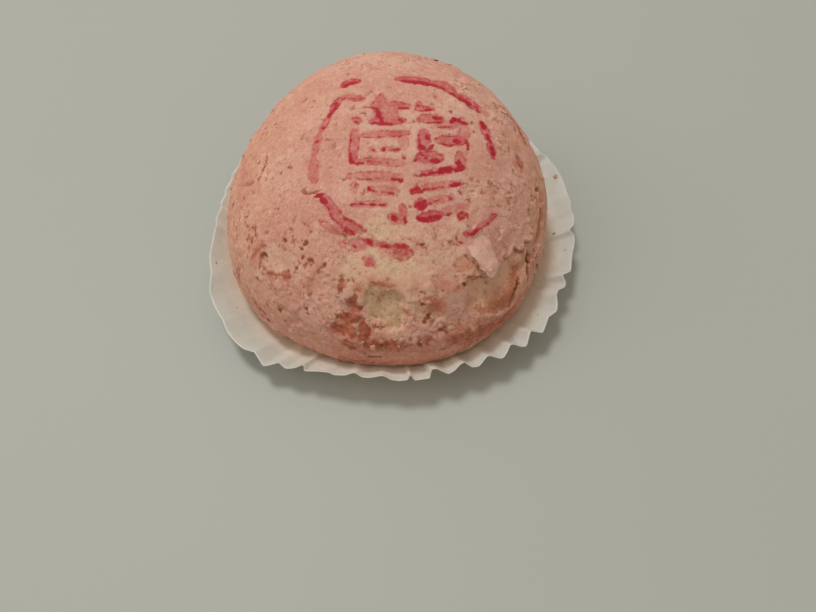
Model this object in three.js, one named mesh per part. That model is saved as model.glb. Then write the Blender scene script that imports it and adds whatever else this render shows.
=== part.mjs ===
// A Chinese wedding cake: a round pastry with a pale pink crust, resting in a fluted paper case.
// Millimetres, +Z up. The origin is on the table under the middle of the pastry, and -Y is the front.
// Azimuths are in degrees about +Z, counted from +X.

import * as THREE from "three";
import { mergeVertices } from "three/addons/utils/BufferGeometryUtils.js";

// The pastry's driving dimensions
const PASTRY_RADIUS = 40;
const PASTRY_HEIGHT = 39.5; // over the middle of the foot
const WIDEST_SHARE = 0.2; // how far up the height the pastry is widest
const FOOT_TUCK = 0.12; // share of the radius by which the foot draws in
const CROWN_FULLNESS = 2.3; // exponent of the crown's superellipse: 2 is round, more is squarer
const CROWN_SLOPE = 0.2; // how much taller the back is than the middle, as a share

// The hand-shaped outline: waves round the rim, each a share of the radius with its peak's azimuth
const PASTRY_WAVES = [
  { count: 2, size: 0.0144, peak: 62 },
  { count: 3, size: 0.01, peak: -30 },
  { count: 4, size: 0.011, peak: 22.5 },
  { count: 5, size: 0.0025, peak: 5 },
];

// Dents (negative rise) and swellings on the flank, by azimuth, height and half-spans
const FLANK_MARKS = [
  { azimuth: -90, height: 21.5, halfWidth: 6.5, halfHeight: 4.5, rise: -1.7 }, // torn hollow in front
  { azimuth: -98, height: 14, halfWidth: 7, halfHeight: 3, rise: 0.6 }, // crust pushed out below it
  { azimuth: -131, height: 24.5, halfWidth: 5.5, halfHeight: 4, rise: -0.7 }, // flaked patch on the left
  { azimuth: -49, height: 27, halfWidth: 5.5, halfHeight: 3, rise: 0.9 }, // curled flake on the right
  { azimuth: 28, height: 27, halfWidth: 9, halfHeight: 5, rise: -0.5 }, // dent behind on the right
  { azimuth: 170, height: 22, halfWidth: 9, halfHeight: 6, rise: 0.5 }, // full left flank
];

// The ledge: below a crease across the front right, the lower dough stands out.
// The crease runs level at first and then climbs to the right.
const LEDGE = { from: -84, to: -14, low: 16, high: 23, climbFrom: -50, climbTo: -24, reach: 2.4, rise: 1 };

// The paper case's driving dimensions
const PAPER = 0.4; // thickness of the floor and, measured upwards, of the wall
const FOOT_GAP = 0.8; // room between the pastry's foot and the case's fold
const RIM_RADIUS = 46.9;
const RIM_HEIGHT = 7.5;
const RIM_LIFT = 0.5; // rise of the rim for each millimetre that it is drawn in
const WALL_CURVE = 1.3; // exponent of the wall's sweep: 1 is straight
const PLEATS = 50;
const PLEAT_DEPTH = 1.0; // half the depth of a pleat at the rim
const PLEAT_LEAN = 2 / 3; // share of a pleat on its long side
const PLEAT_DRIFT = 1.1; // largest sideways wander of a pleat, in degrees
const RIM_WAVES = [
  { count: 1, size: 0.9, peak: 35 },
  { count: 2, size: 0.8, peak: 29.5 },
  { count: 3, size: 0.9, peak: -6 },
  { count: 4, size: 1.4, peak: 38 },
  { count: 5, size: 0.55, peak: 8.5 },
];

// Fineness of the meshes
const PASTRY_SEGMENTS = 72;
const FLANK_ROWS = 4;
const CROWN_ROWS = 17;
const SIDES_PER_PLEAT = 3;
const WALL_ROWS = 3;
const MERGE_WITHIN = 1e-4;

const COLOURS = { crust: 0xdd9c88, paper: 0xe9e4d8 };

const radians = THREE.MathUtils.degToRad;

function waves(list, azimuth) {
  return list.reduce((sum, wave) => sum + wave.size * Math.cos(wave.count * radians(azimuth - wave.peak)), 0);
}

// Difference of two azimuths, between -180 and 180
function turn(azimuth, from) {
  return THREE.MathUtils.euclideanModulo(azimuth - from + 180, 360) - 180;
}

function footRadius(azimuth) {
  return PASTRY_RADIUS * (1 - FOOT_TUCK) * (1 + waves(PASTRY_WAVES, azimuth));
}

// A closed lathe of the profile, standing along +Z, with each vertex moved by place(azimuth, row)
function shapedLathe(profile, segments, place) {
  const lathe = new THREE.LatheGeometry(profile, segments);
  lathe.rotateX(Math.PI / 2);
  lathe.deleteAttribute("normal");
  lathe.deleteAttribute("uv");
  const spots = lathe.getAttribute("position");
  for (let index = 0; index < spots.count; index += 1) {
    const row = index % profile.length;
    const segment = Math.floor(index / profile.length) % segments;
    const azimuth = (segment * 360) / segments - 90;
    const spot = place(azimuth, row);
    spots.setXYZ(index, spot.x, spot.y, spot.z);
  }
  return closedGeometry(lathe);
}

// Shared vertices become one, and the slivers of no area at the two poles go
function closedGeometry(geometry) {
  const merged = mergeVertices(geometry, MERGE_WITHIN);
  const corners = merged.getIndex().array;
  const kept = [];
  for (let first = 0; first < corners.length; first += 3) {
    const [a, b, c] = [corners[first], corners[first + 1], corners[first + 2]];
    if (a !== b && b !== c && c !== a) {
      kept.push(a, b, c);
    }
  }
  merged.setIndex(kept);
  merged.computeVertexNormals();
  return merged;
}

function polar(azimuth, radius, height) {
  return new THREE.Vector3(radius * Math.cos(radians(azimuth)), radius * Math.sin(radians(azimuth)), height);
}

// The pastry's section, from the middle of the foot to the top: radius in x, height in y
function pastryProfile() {
  const widest = WIDEST_SHARE * PASTRY_HEIGHT;
  const points = [new THREE.Vector2(0, 0)];
  for (let row = 0; row < FLANK_ROWS; row += 1) {
    const below = 1 - row / FLANK_ROWS;
    points.push(new THREE.Vector2(PASTRY_RADIUS * (1 - FOOT_TUCK * below ** 2), widest * (1 - below)));
  }
  for (let row = 0; row < CROWN_ROWS; row += 1) {
    const rise = (row / CROWN_ROWS) * (Math.PI / 2);
    const radius = PASTRY_RADIUS * Math.cos(rise) ** (2 / CROWN_FULLNESS);
    const height = widest + (PASTRY_HEIGHT - widest) * Math.sin(rise) ** (2 / CROWN_FULLNESS);
    points.push(new THREE.Vector2(radius, height));
  }
  points.push(new THREE.Vector2(0, PASTRY_HEIGHT));
  return points;
}

function markRise(mark, azimuth, height) {
  const across = (radians(turn(azimuth, mark.azimuth)) * PASTRY_RADIUS) / mark.halfWidth;
  const up = (height - mark.height) / mark.halfHeight;
  return mark.rise * Math.exp(-(across ** 2) - up ** 2);
}

// Outwards below the crease and inwards above it, fading at both ends of the ledge
function ledgeRise(azimuth, height) {
  const along = turn(azimuth, LEDGE.from) / (LEDGE.to - LEDGE.from);
  if (along <= 0 || along >= 1) {
    return 0;
  }
  const climb = THREE.MathUtils.smoothstep(azimuth, LEDGE.climbFrom, LEDGE.climbTo);
  const crease = LEDGE.low + (LEDGE.high - LEDGE.low) * climb;
  const above = (height - crease) / LEDGE.reach;
  return -LEDGE.rise * Math.sin(Math.PI * along) * above * Math.exp(0.5 - above ** 2 / 2);
}

// A point of the crust: the round section, then the waves, the slope of the crown and the marks
function crustPoint(azimuth, section) {
  const spot = polar(azimuth, section.x * (1 + waves(PASTRY_WAVES, azimuth)), section.y);
  spot.z *= 1 + (CROWN_SLOPE * spot.y) / PASTRY_RADIUS;
  const core = new THREE.Vector3(0, 0, PASTRY_HEIGHT * WIDEST_SHARE);
  const outwards = spot.clone().sub(core).normalize();
  const marks = FLANK_MARKS.reduce((sum, mark) => sum + markRise(mark, azimuth, spot.z), 0);
  const clearOfFoot = THREE.MathUtils.smoothstep(section.y, 0, WIDEST_SHARE * PASTRY_HEIGHT);
  return spot.addScaledVector(outwards, clearOfFoot * (marks + ledgeRise(azimuth, spot.z)));
}

function makePastry() {
  const profile = pastryProfile();
  const geometry = shapedLathe(profile, PASTRY_SEGMENTS, (azimuth, row) => crustPoint(azimuth, profile[row]));
  const material = new THREE.MeshStandardMaterial({ color: COLOURS.crust, roughness: 0.75, metalness: 0 });
  const pastry = new THREE.Mesh(geometry, material);
  pastry.name = "pastry";
  pastry.position.z = PAPER;
  return pastry;
}

// From -1 in a pleat's valley to 1 on its tip, with a long side and a short one
function pleatWave(azimuth) {
  const along = THREE.MathUtils.euclideanModulo(((azimuth + 90) * PLEATS) / 360, 1);
  const climb = along < PLEAT_LEAN ? along / PLEAT_LEAN : (1 - along) / (1 - PLEAT_LEAN);
  return 2 * climb - 1;
}

// A point of the wall's outside; share is 0 at the fold round the foot and 1 at the rim
function wallPoint(azimuth, share) {
  const foot = footRadius(azimuth) + FOOT_GAP;
  const rim = RIM_RADIUS + waves(RIM_WAVES, azimuth);
  const rimHeight = RIM_HEIGHT + RIM_LIFT * (RIM_RADIUS - rim);
  const radius = foot + (rim - foot) * share + PLEAT_DEPTH * share * pleatWave(azimuth);
  const drift = PLEAT_DRIFT * share * Math.sin(radians(7 * azimuth)) * Math.cos(radians(3 * azimuth));
  return polar(azimuth + drift, radius, rimHeight * share ** WALL_CURVE);
}

function makePaperCase() {
  const outside = Array.from({ length: WALL_ROWS + 1 }, (_, row) => ({ share: row / WALL_ROWS, raised: 0 }));
  const inside = outside.map(({ share }) => ({ share, raised: PAPER })).reverse();
  const middle = { share: null };
  const rows = [{ ...middle, raised: 0 }, ...outside, ...inside, { ...middle, raised: PAPER }];
  const profile = rows.map((row) => new THREE.Vector2(row.share === null ? 0 : 1 + row.share, row.raised));
  const geometry = shapedLathe(profile, PLEATS * SIDES_PER_PLEAT, (azimuth, row) => {
    const { share, raised } = rows[row];
    const spot = share === null ? new THREE.Vector3() : wallPoint(azimuth, share);
    return spot.setZ(spot.z + raised);
  });
  const material = new THREE.MeshStandardMaterial({ color: COLOURS.paper, roughness: 0.6, metalness: 0 });
  const paperCase = new THREE.Mesh(geometry, material);
  paperCase.name = "paper_case";
  return paperCase;
}

const cake = new THREE.Group();
cake.add(makePaperCase(), makePastry());

export default cake;
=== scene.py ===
# %% [markdown]
# # A wedding cake in its paper case
# The object is a round Chinese wedding pastry: a soft domed body about 80 mm across in a pale pink,
# flaky crust, with the double-happiness ornament stamped on its crown in red food dye. It sits in a
# fluted paper case. The solids from the CAD step give the true size and place of both, so the first
# step loads them as a frame, and everything below is worked out from that frame.

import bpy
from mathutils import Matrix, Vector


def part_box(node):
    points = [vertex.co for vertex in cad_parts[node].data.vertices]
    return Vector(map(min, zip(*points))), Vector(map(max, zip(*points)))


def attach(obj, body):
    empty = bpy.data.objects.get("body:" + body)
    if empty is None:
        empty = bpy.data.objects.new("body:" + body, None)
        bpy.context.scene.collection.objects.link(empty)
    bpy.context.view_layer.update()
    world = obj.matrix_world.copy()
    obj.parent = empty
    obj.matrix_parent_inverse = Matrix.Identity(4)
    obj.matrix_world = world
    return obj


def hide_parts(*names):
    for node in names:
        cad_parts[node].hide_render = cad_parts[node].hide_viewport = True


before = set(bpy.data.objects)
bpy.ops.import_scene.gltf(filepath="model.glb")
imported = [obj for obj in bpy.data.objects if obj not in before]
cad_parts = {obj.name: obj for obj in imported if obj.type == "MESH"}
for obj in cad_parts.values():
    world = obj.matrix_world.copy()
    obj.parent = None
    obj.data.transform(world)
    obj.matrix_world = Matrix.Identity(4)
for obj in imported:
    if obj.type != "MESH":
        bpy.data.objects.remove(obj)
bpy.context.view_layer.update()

# %% What the lesson needs
import itertools
import math

import bmesh
import bpy
import numpy as np
from mathutils import Euler, Matrix, Vector
from mathutils.bvhtree import BVHTree
from mathutils.kdtree import KDTree

MM = 0.001  # the scene is in metres, and the shapes below are worked out in millimetres
FAR = 99.0  # stands for a distance that doesn't matter
chance = np.random.default_rng(88)


def ramp(values, low, high):
    """0 below low, 1 above high and a soft curve between them; low may be the larger one."""
    share = np.clip((values - low) / (high - low), 0, 1)
    return share * share * (3 - 2 * share)


def bell(values, middle, width):
    """1 at the middle value and almost 0 from two widths away."""
    return np.exp(-(((values - middle) / width) ** 2))


# %% [markdown]
# ## Noise
# A hand-made, baked surface is never even, and its lumps, cracks and stains all follow soft random
# patterns. Blender's noise textures work in the shader alone, so for real relief we write the same
# kind of noise ourselves: a lattice of random slopes, blended smoothly between its nodes. The same
# spot always gives the same value, so the cake comes out alike on every run. Each use of a noise
# has its own shift, which moves it to another part of the lattice, so that no two uses look alike.

# %% Noise helpers
LATTICE = 64
slopes = chance.normal(size=(LATTICE, LATTICE, LATTICE, 3))
slopes /= np.linalg.norm(slopes, axis=3, keepdims=True)


def lumps(points, size, shift=0.0):
    """Smooth noise from about -1 to 1, in lumps about as wide as size."""
    spots = points / size + shift
    low = np.floor(spots).astype(int)
    part = spots - low
    fade = part**3 * (part * (part * 6 - 15) + 10)
    total = np.zeros(len(points))
    for corner in itertools.product((0, 1), repeat=3):
        node = (low + corner) % LATTICE
        pull = ((part - corner) * slopes[node[:, 0], node[:, 1], node[:, 2]]).sum(1)
        total += pull * np.where(corner, fade, 1 - fade).prod(1)
    return 1.6 * total


def rough(points, size, layers, shift=0.0):
    """Lumps with finer and finer lumps on them."""
    return sum(lumps(points, size / 2**k, shift + 7.3 * k) / 2**k for k in range(layers))


def grains(points, size, shift=0.0):
    """Distance to the nearest of many scattered crumbs, as a share of their size."""
    spots = points / size + shift
    low = np.floor(spots).astype(int)
    nearest = np.full(len(points), FAR)
    for corner in itertools.product((-1, 0, 1), repeat=3):
        node = low + corner
        seat = slopes[tuple((node % LATTICE).T)] * 0.45 + 0.5
        nearest = np.minimum(nearest, np.linalg.norm(node + seat - spots, axis=1))
    return nearest


# %% [markdown]
# ## The smooth body
# The CAD solid has the right outline but flat facets, like a model folded from card. We need a body
# as smooth as dough. A copy of the solid is welded, its triangles are paired into quads, and a
# subdivision surface rounds it. This copy is only a mould: rays are shot at it to find points of
# the crust, and then it is thrown away. The solid itself is left as it is.


# %% Make the mould
def rounded_mould(node, levels):
    """A subdivided copy of a solid as a tree that rays can be shot at, in millimetres."""
    mesh = bmesh.new()
    mesh.from_mesh(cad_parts[node].data)
    bmesh.ops.remove_doubles(mesh, verts=mesh.verts, dist=0.01 * MM)
    bmesh.ops.join_triangles(
        mesh, faces=mesh.faces, angle_face_threshold=math.pi, angle_shape_threshold=math.pi
    )
    bmesh.ops.scale(mesh, verts=mesh.verts, vec=(1 / MM, 1 / MM, 1 / MM))
    data = bpy.data.meshes.new("mould")
    mesh.to_mesh(data)
    mesh.free()
    mould = bpy.data.objects.new("mould", data)
    bpy.context.scene.collection.objects.link(mould)
    mould.modifiers.new("round", "SUBSURF").levels = levels
    tree = BVHTree.FromObject(mould, bpy.context.evaluated_depsgraph_get())
    bpy.data.objects.remove(mould)
    bpy.data.meshes.remove(data)
    return tree


mould = rounded_mould("pastry", 3)
low_corner, high_corner = (np.array(corner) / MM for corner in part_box("pastry"))
print("pastry in millimetres:", low_corner.round(1), high_corner.round(1))


# %% Find places on the crust
def on_flank(azimuth, height):
    """The point of the smooth flank at an azimuth in degrees and a height."""
    angle = math.radians(azimuth)
    return np.array(mould.ray_cast(Vector((0, 0, height)), Vector((math.cos(angle), math.sin(angle), 0)))[0])


def on_crown(x, y):
    """The point of the smooth crown above a place in plan."""
    return np.array(mould.ray_cast(Vector((x, y, 60)), Vector((0, 0, -1)))[0])


print("front of the flank at 20 mm:", on_flank(-90, 20).round(1), "top:", on_crown(0, 0).round(1))

# %% [markdown]
# ## The net of the crust
# A crust has detail everywhere: ink edges, pits no wider than a pinhead, lifted skins. It needs a
# fine and even net. A globe-like net would crowd its points at the pole, just where the stamp is.
# So the crown gets a square grid, bent into a disc round the middle of the stamp, and from its rim
# rings of points run down the flank to the foot. All are found by shooting rays at the mould.

# %% Grid of the crown
STAMP_MIDDLE = np.array([4.0, -4.5])  # in plan, from the middle of the pastry
CROWN_REACH = 24.0
CROWN_CELLS = 168


def crown_grid():
    """Places in plan of a square grid that is bent into a disc, and the walk round its rim."""
    side = np.linspace(-1, 1, CROWN_CELLS + 1)
    s, t = np.meshgrid(side, side, indexing="ij")
    wide = np.abs(s) >= np.abs(t)
    reach = np.where(wide, s, t)
    slant = np.divide(np.where(wide, t, s), reach, out=np.zeros_like(s), where=reach != 0)
    angle = np.where(wide, slant * math.pi / 4, math.pi / 2 - slant * math.pi / 4)
    disc = reach[..., None] * np.stack([np.cos(angle), np.sin(angle)], axis=-1)
    square = np.stack([s, t], axis=-1) * 0.85
    blend = np.abs(reach)[..., None]
    plan = STAMP_MIDDLE + CROWN_REACH * (square * (1 - blend) + disc * blend)
    number = np.arange(s.size).reshape(s.shape)
    rim = np.concatenate([number[-1, :-1], number[:0:-1, -1], number[0, :0:-1], number[:-1, 0]])
    return plan.reshape(-1, 2), number, rim


plan, grid_number, rim_walk = crown_grid()
crown_points = np.array([on_crown(x, y) for x, y in plan])
print("crown points:", len(crown_points), "round the rim:", len(rim_walk))

# %% Rings of the flank
FLANK_RINGS = 104
CORE = np.array([0.0, 0.0, 12.0])  # rays to the flank leave from here
LOWEST_LOOK = math.radians(-20.5)  # a ray this steep meets the underside, just inside the foot


def flank_points():
    """Rings from the rim of the crown grid down to the underside."""
    start = crown_points[rim_walk] - CORE
    turn = np.unwrap(np.arctan2(start[:, 1], start[:, 0]))
    rise = np.arctan2(start[:, 2], np.hypot(start[:, 0], start[:, 1]))
    even = turn.mean() + (np.arange(len(turn)) - (len(turn) - 1) / 2) * (turn[-1] - turn[0]) / (len(turn) - 1)
    points = []
    for share in np.arange(1, FLANK_RINGS + 1) / FLANK_RINGS:
        azimuth = turn + (even - turn) * share
        look = rise + (LOWEST_LOOK - rise) * share
        level = np.cos(look)
        ways = np.stack([np.cos(azimuth) * level, np.sin(azimuth) * level, np.sin(look)], axis=1)
        points += [mould.ray_cast(Vector(CORE), Vector(way))[0] for way in ways]
    return np.array(points)


flank = flank_points()
base = np.concatenate([crown_points, flank])
print("flank points:", len(flank))


# %% Faces of the net
def grid_quads(n):
    """Quads of a grid, from the numbers of its points."""
    return np.stack([n[:-1, :-1], n[1:, :-1], n[1:, 1:], n[:-1, 1:]], axis=-1).reshape(-1, 4)


def net_faces():
    """Quads of the crown grid and of the rings."""
    crown = grid_quads(grid_number)
    around = len(rim_walk)
    rows = [rim_walk] + [len(crown_points) + around * k + np.arange(around) for k in range(FLANK_RINGS)]
    rings = [np.stack([a, b, np.roll(b, -1), np.roll(a, -1)], axis=1) for a, b in zip(rows, rows[1:])]
    return np.concatenate([crown, *rings]), rows[-1]


def outward(points, quads):
    """The direction square to the net at each of its points."""
    across = np.cross(points[quads[:, 2]] - points[quads[:, 0]], points[quads[:, 3]] - points[quads[:, 1]])
    total = np.zeros_like(points)
    for corner in range(4):
        for axis in range(3):
            total[:, axis] += np.bincount(quads[:, corner], across[:, axis], len(points))
    return total / np.linalg.norm(total, axis=1, keepdims=True)


quads, foot_ring = net_faces()
facing = outward(base, quads)
if (facing * (base - CORE)).sum() < 0:
    quads = quads[:, ::-1]
    facing = -facing
azimuths = np.degrees(np.arctan2(base[:, 1], base[:, 0]))
heights = base[:, 2]
print("quads:", len(quads), "facing out:", bool((facing * (base - CORE)).sum() > 0))

# %% [markdown]
# ## Placing marks
# Every tear, crack and stain has a known place: an azimuth in degrees about the upright axis (the
# front is at -90) and a height on the flank, or a place in plan on the crown. The helpers below say
# how far each point of the net lies from a line, or inside an outline, and turn that into masks:
# one number from 0 to 1 for each point of the net, with the edges made ragged by noise.


# %% Lines and outlines on the crust
LINE_MARGIN = 4  # points further than this from all of a line are left out, in millimetres
OUTLINE_REACH = 30  # and so are points further than this from the middle of an outline
LEAST_ALIKE = 0.15  # or points that face another way: 1 is the same way, 0 is square to it


def places(corners, finder):
    """Points of the smooth crust for a list of given places."""
    return np.array([finder(*corner) for corner in corners])


def line_reach(line):
    """For each point of the net its distance to a line of points, and how far along the line it is."""
    if len(line) == 1:
        line = np.array([line[0], line[0] + 0.01])
    distance = np.full(len(base), FAR)
    along = np.zeros(len(base))
    middle = line.mean(0)
    span = np.linalg.norm(line - middle, axis=1).max() + LINE_MARGIN
    near = np.flatnonzero(((base - middle) ** 2).sum(1) < span**2)
    for step, (start, end) in enumerate(zip(line, line[1:])):
        way = end - start
        share = np.clip((base[near] - start) @ way / (way @ way), 0, 1)
        gap = np.linalg.norm(base[near] - start - share[:, None] * way, axis=1)
        closer = gap < distance[near]
        distance[near[closer]] = gap[closer]
        along[near[closer]] = (step + share[closer]) / (len(line) - 1)
    return distance, along


def spread_out(middle):
    """Right and up coordinates of the net's points on the plane that touches the crust at a place."""
    normal = facing[((base - middle) ** 2).sum(1).argmin()]
    right = np.cross([0.0, 0.0, 1.0], normal)
    right /= np.linalg.norm(right)
    up = np.cross(normal, right)
    apart = base - middle
    seen = (facing @ normal > LEAST_ALIKE) & ((apart**2).sum(1) < OUTLINE_REACH**2)
    return apart @ right, apart @ up, seen, right, up


def inside_outline(corners):
    """How far each point lies inside an outline, in millimetres; negative outside."""
    middle = corners.mean(0)
    u, v, seen, right, up = spread_out(middle)
    ring = np.stack([(corners - middle) @ right, (corners - middle) @ up], axis=1)
    gap = np.full(len(base), FAR)
    crossed = np.zeros(len(base), bool)
    for (au, av), (bu, bv) in zip(ring, np.roll(ring, -1, axis=0)):
        du, dv = bu - au, bv - av
        share = np.clip(((u - au) * du + (v - av) * dv) / (du * du + dv * dv), 0, 1)
        gap = np.minimum(gap, np.hypot(u - au - share * du, v - av - share * dv))
        between = (av > v) != (bv > v)
        crossed ^= between & (u < au + (v - av) * du / (dv if dv else 1e-9))
    return np.where(seen, np.where(crossed, gap, -gap), -FAR)


# %% Ragged marks and strokes
TAPER = 0.4  # how much a stroke thins out at its ends
ragged_layers = {}


def ragged(shift, size=2.6):
    """Fine uneven noise for the edges of marks, kept for use again."""
    key = (shift, size)
    if key not in ragged_layers:
        ragged_layers[key] = rough(base, size, 4, shift)
    return ragged_layers[key]


def blot(azimuth, height, width, tall, shift=0.0):
    """1 in the middle of a ragged round mark on the flank and 0 outside it."""
    u, v, seen, _, _ = spread_out(on_flank(azimuth, height))
    reach = np.hypot(u / width, v / tall) + 0.6 * ragged(shift, 1.8)
    return np.where(seen, ramp(reach, 1.2, 0.8), 0.0)


def strokes(marks, finder, softness, wander, shift, middle=(0, 0), slim=1.0, grain=1.3):
    """How strongly a list of brush strokes covers each point, and the gap to the nearest stroke.

    Each stroke is its width, its strength and then the places it runs through. Slim scales all
    widths. The edges are softness wide, and wander off by noise with lumps as wide as grain.
    """
    cover = np.zeros(len(base))
    gap = np.full(len(base), FAR)
    unevenness = wander * ragged(shift, grain)
    for width, strength, *numbers in marks:
        distance, along = line_reach(places(np.reshape(numbers, (-1, 2)) + middle, finder))
        taper = TAPER if len(numbers) > 2 else 0.0
        away = distance - slim * width / 2 * (1 - taper * np.abs(2 * along - 1) ** 3) + unevenness
        cover = np.maximum(cover, strength * ramp(away, softness, -softness))
        gap = np.minimum(gap, away)
    return cover, gap


def drawn(*stroke_inputs, **options):
    """Only the cover of a list of brush strokes."""
    return strokes(*stroke_inputs, **options)[0]


print("noise on the net runs from", ragged(0.0).min().round(2), "to", ragged(0.0).max().round(2))

# %% [markdown]
# ## Uneven dough
# The pastry was shaped by hand, so its surface swells and sinks softly all over. The fine grain of
# the baked skin comes on top: low bumps about a millimetre across. Both are moves along the
# directions that face out of the net, and rise collects all such moves, in millimetres.

# %% Swellings and grain
SWELLINGS = [  # height and size in millimetres, and the shift of the noise
    (0.34, 13, 0.0), (0.2, 6.5, 3.1), (0.1, 3.2, 5.7),
]
GRAIN_HEIGHT = 0.04
rise = sum(height * lumps(base, size, shift) for height, size, shift in SWELLINGS)
rise += GRAIN_HEIGHT * rough(base, 1.5, 3, 9.4)
print("swellings reach", rise.min().round(2), "to", rise.max().round(2), "mm")

# %% [markdown]
# ## Peeled skin
# The outermost skin is a dry sheet about as thick as card. Where it has peeled off, a smoother tan
# layer shows, one step lower, and the skin's edge stands up a little and throws a thin shadow. On
# this cake it has come off over the shoulder on the right, in a hollow torn open in front, in a
# patch on the left and in small patches all round. Each outline is given by its corners and made
# ragged by noise. Cutting the step into the net gives true edges and shadows, as shading can't.

# %% Outlines of the peeled places
BARE_SHOULDER = [  # azimuth and height of each corner, here and in the next three
    (9, 27), (-1, 28.5), (-9, 27.5), (-15, 27), (-19.5, 25.5), (-22, 23), (-25, 21.5), (-28.5, 22.5),
    (-31, 21.5), (-34, 23), (-37.5, 22.5), (-41, 23.5), (-46, 23), (-51.5, 23), (-54.5, 24), (-58, 25),
    (-59.5, 23), (-61, 20.5), (-61, 18), (-58.5, 16.5), (-51, 14.5), (-43, 13.5), (-37, 14), (-33, 17),
    (-26, 18), (-18, 17), (-8, 16.5), (2, 18), (10, 22),
]
PEACH_SHELF = [
    (-50, 23.5), (-52, 25.5), (-55.5, 28), (-59, 28), (-62, 27), (-61, 26), (-58.5, 25.5), (-56, 25),
    (-54.5, 23.5), (-51.5, 23),
]
TORN_HOLLOW = [
    (-98.5, 24), (-96, 25.2), (-93, 25), (-90.5, 24), (-86, 24.2), (-83.5, 23.2), (-83, 21.5), (-82.5, 20),
    (-83.5, 18), (-86, 17), (-89, 17.3), (-93, 18), (-96, 19), (-98, 20.5), (-99, 22),
]
LEFT_PATCH = [
    (-142, 26), (-139, 27), (-133, 27), (-127.5, 26.5), (-126, 25), (-128, 23.5), (-131.5, 23),
    (-136.5, 22.5), (-139.5, 23), (-141.5, 24),
]
SMALL_PATCHES = [  # azimuth and height of the middle, half the width and half the height
    (-176, 30, 2.6, 1.8), (-160, 25, 2, 1.4), (-116, 24, 2.2, 3.2), (-122, 15, 2.4, 1.6), (-75, 20, 3, 2.6),
    (20, 24, 3.4, 2.4), (52, 18, 4, 2.6), (84, 27, 3.6, 2.2), (108, 15, 4.4, 3), (139, 25, 3.6, 2.6),
    (164, 14, 3, 2), (-5, 14, 2.6, 1.8), (36, 30, 2.4, 1.8),
]

bare_shoulder = inside_outline(places(BARE_SHOULDER, on_flank)) + 0.6 * ragged(2.0)
peach_shelf = inside_outline(places(PEACH_SHELF, on_flank)) + 0.25 * ragged(4.0)
torn_hollow = inside_outline(places(TORN_HOLLOW, on_flank)) + 1.0 * ragged(6.0)
left_patch = inside_outline(places(LEFT_PATCH, on_flank)) + 0.7 * ragged(8.0)
print("points on the bare shoulder:", int((bare_shoulder > 0).sum()))
print("points in the hollow:", int((torn_hollow > 0).sum()))


# %% Cut the steps
def step_down(inside, depth, lip, softness=0.22):
    """A step down inside an outline, with the skin's edge curled up beside it."""
    down = -depth * ramp(inside, -softness, softness)
    curl = lip * bell(inside, -0.55, 0.5) * ramp(ragged(11.0), -0.4, 0.5)
    return down + curl


# Under the bare shoulder the solid's ledge is too strong: its dent is filled, its swelling lowered
LEDGE_CHANGES = [(0.5, 1.6), (-0.4, -2.2)]  # rise, and how far it lies above the crease
u, v, seen, _, _ = spread_out(on_flank(-38, 20))
for change, level in LEDGE_CHANGES:
    rise += np.where(seen, change * np.exp(-((u / 5) ** 2) - ((v - level) / 1.6) ** 2), 0)

small_patches = np.full(len(base), -FAR)
for azimuth, height, width, tall in SMALL_PATCHES:
    u, v, seen, _, _ = spread_out(on_flank(azimuth, height))
    inside = min(width, tall) * (1 - np.hypot(u / width, v / tall)) + 0.8 * ragged(13.0)
    small_patches = np.where(seen, np.maximum(small_patches, inside), small_patches)

shelf_only = np.minimum(peach_shelf, -bare_shoulder)
# The skin ends in a step only above the bare place; in front and on the right it thins out softly
crisp = ramp(heights, 16, 19.5) * ramp(azimuths, -60.5, -56.5) * ramp(azimuths, -15, -24)
shoulder_mask = ramp(bare_shoulder, -1.6 + 1.5 * crisp, 2.4 - 2.1 * crisp)
rise += step_down(bare_shoulder, depth=0.8, lip=0.22) * crisp
rise += step_down(shelf_only, depth=0.3, lip=0.1, softness=0.45)
hollow_step = step_down(torn_hollow, depth=0.4, lip=0.0, softness=0.8) * ramp(heights, 26, 21)
hollow_lip = 0.05 * ramp(heights, 21, 24) * bell(torn_hollow, -0.6, 0.6)
rise += hollow_step + hollow_lip
rise += step_down(left_patch, depth=0.2, lip=0.04, softness=0.4)
rise += step_down(small_patches, depth=0.2, lip=0.1)
bare = np.maximum(shoulder_mask, 0.45 * ramp(small_patches, -0.2, 0.8))
peach = ramp(shelf_only, -0.1, 0.9)
pale_patch = ramp(left_patch, -0.2, 0.8)
print("share of the crust without skin:", (bare > 0.5).mean().round(3))

# %% The greasy zone
# Between the stamp and the hollow the lard has come through: the crust is smooth and yellowish
GREASY_MIDDLE = (0.3, -28.6)
GREASY_HALF_WIDTHS = (11.0, 5.0)
greasy_share = (base[:, :2] - GREASY_MIDDLE) / GREASY_HALF_WIDTHS
butter_reach = np.hypot(*greasy_share.T) + 0.4 * ragged(87.0, 5.0)
butter = ramp(butter_reach, 1.15, 0.55) * ramp(heights, 20, 24)
print("share of the crust that is greasy:", (butter > 0.5).mean().round(3))

# %% [markdown]
# ## Flaky layers
# The crust is laminated: lard dough folded into water dough. Away from the calm crown its surface
# is a stack of thin leaves with wandering edges. The edges follow the contour lines of a noise, as
# the layers of plywood show when it is sanded unevenly. Each contour becomes a low step.

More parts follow.
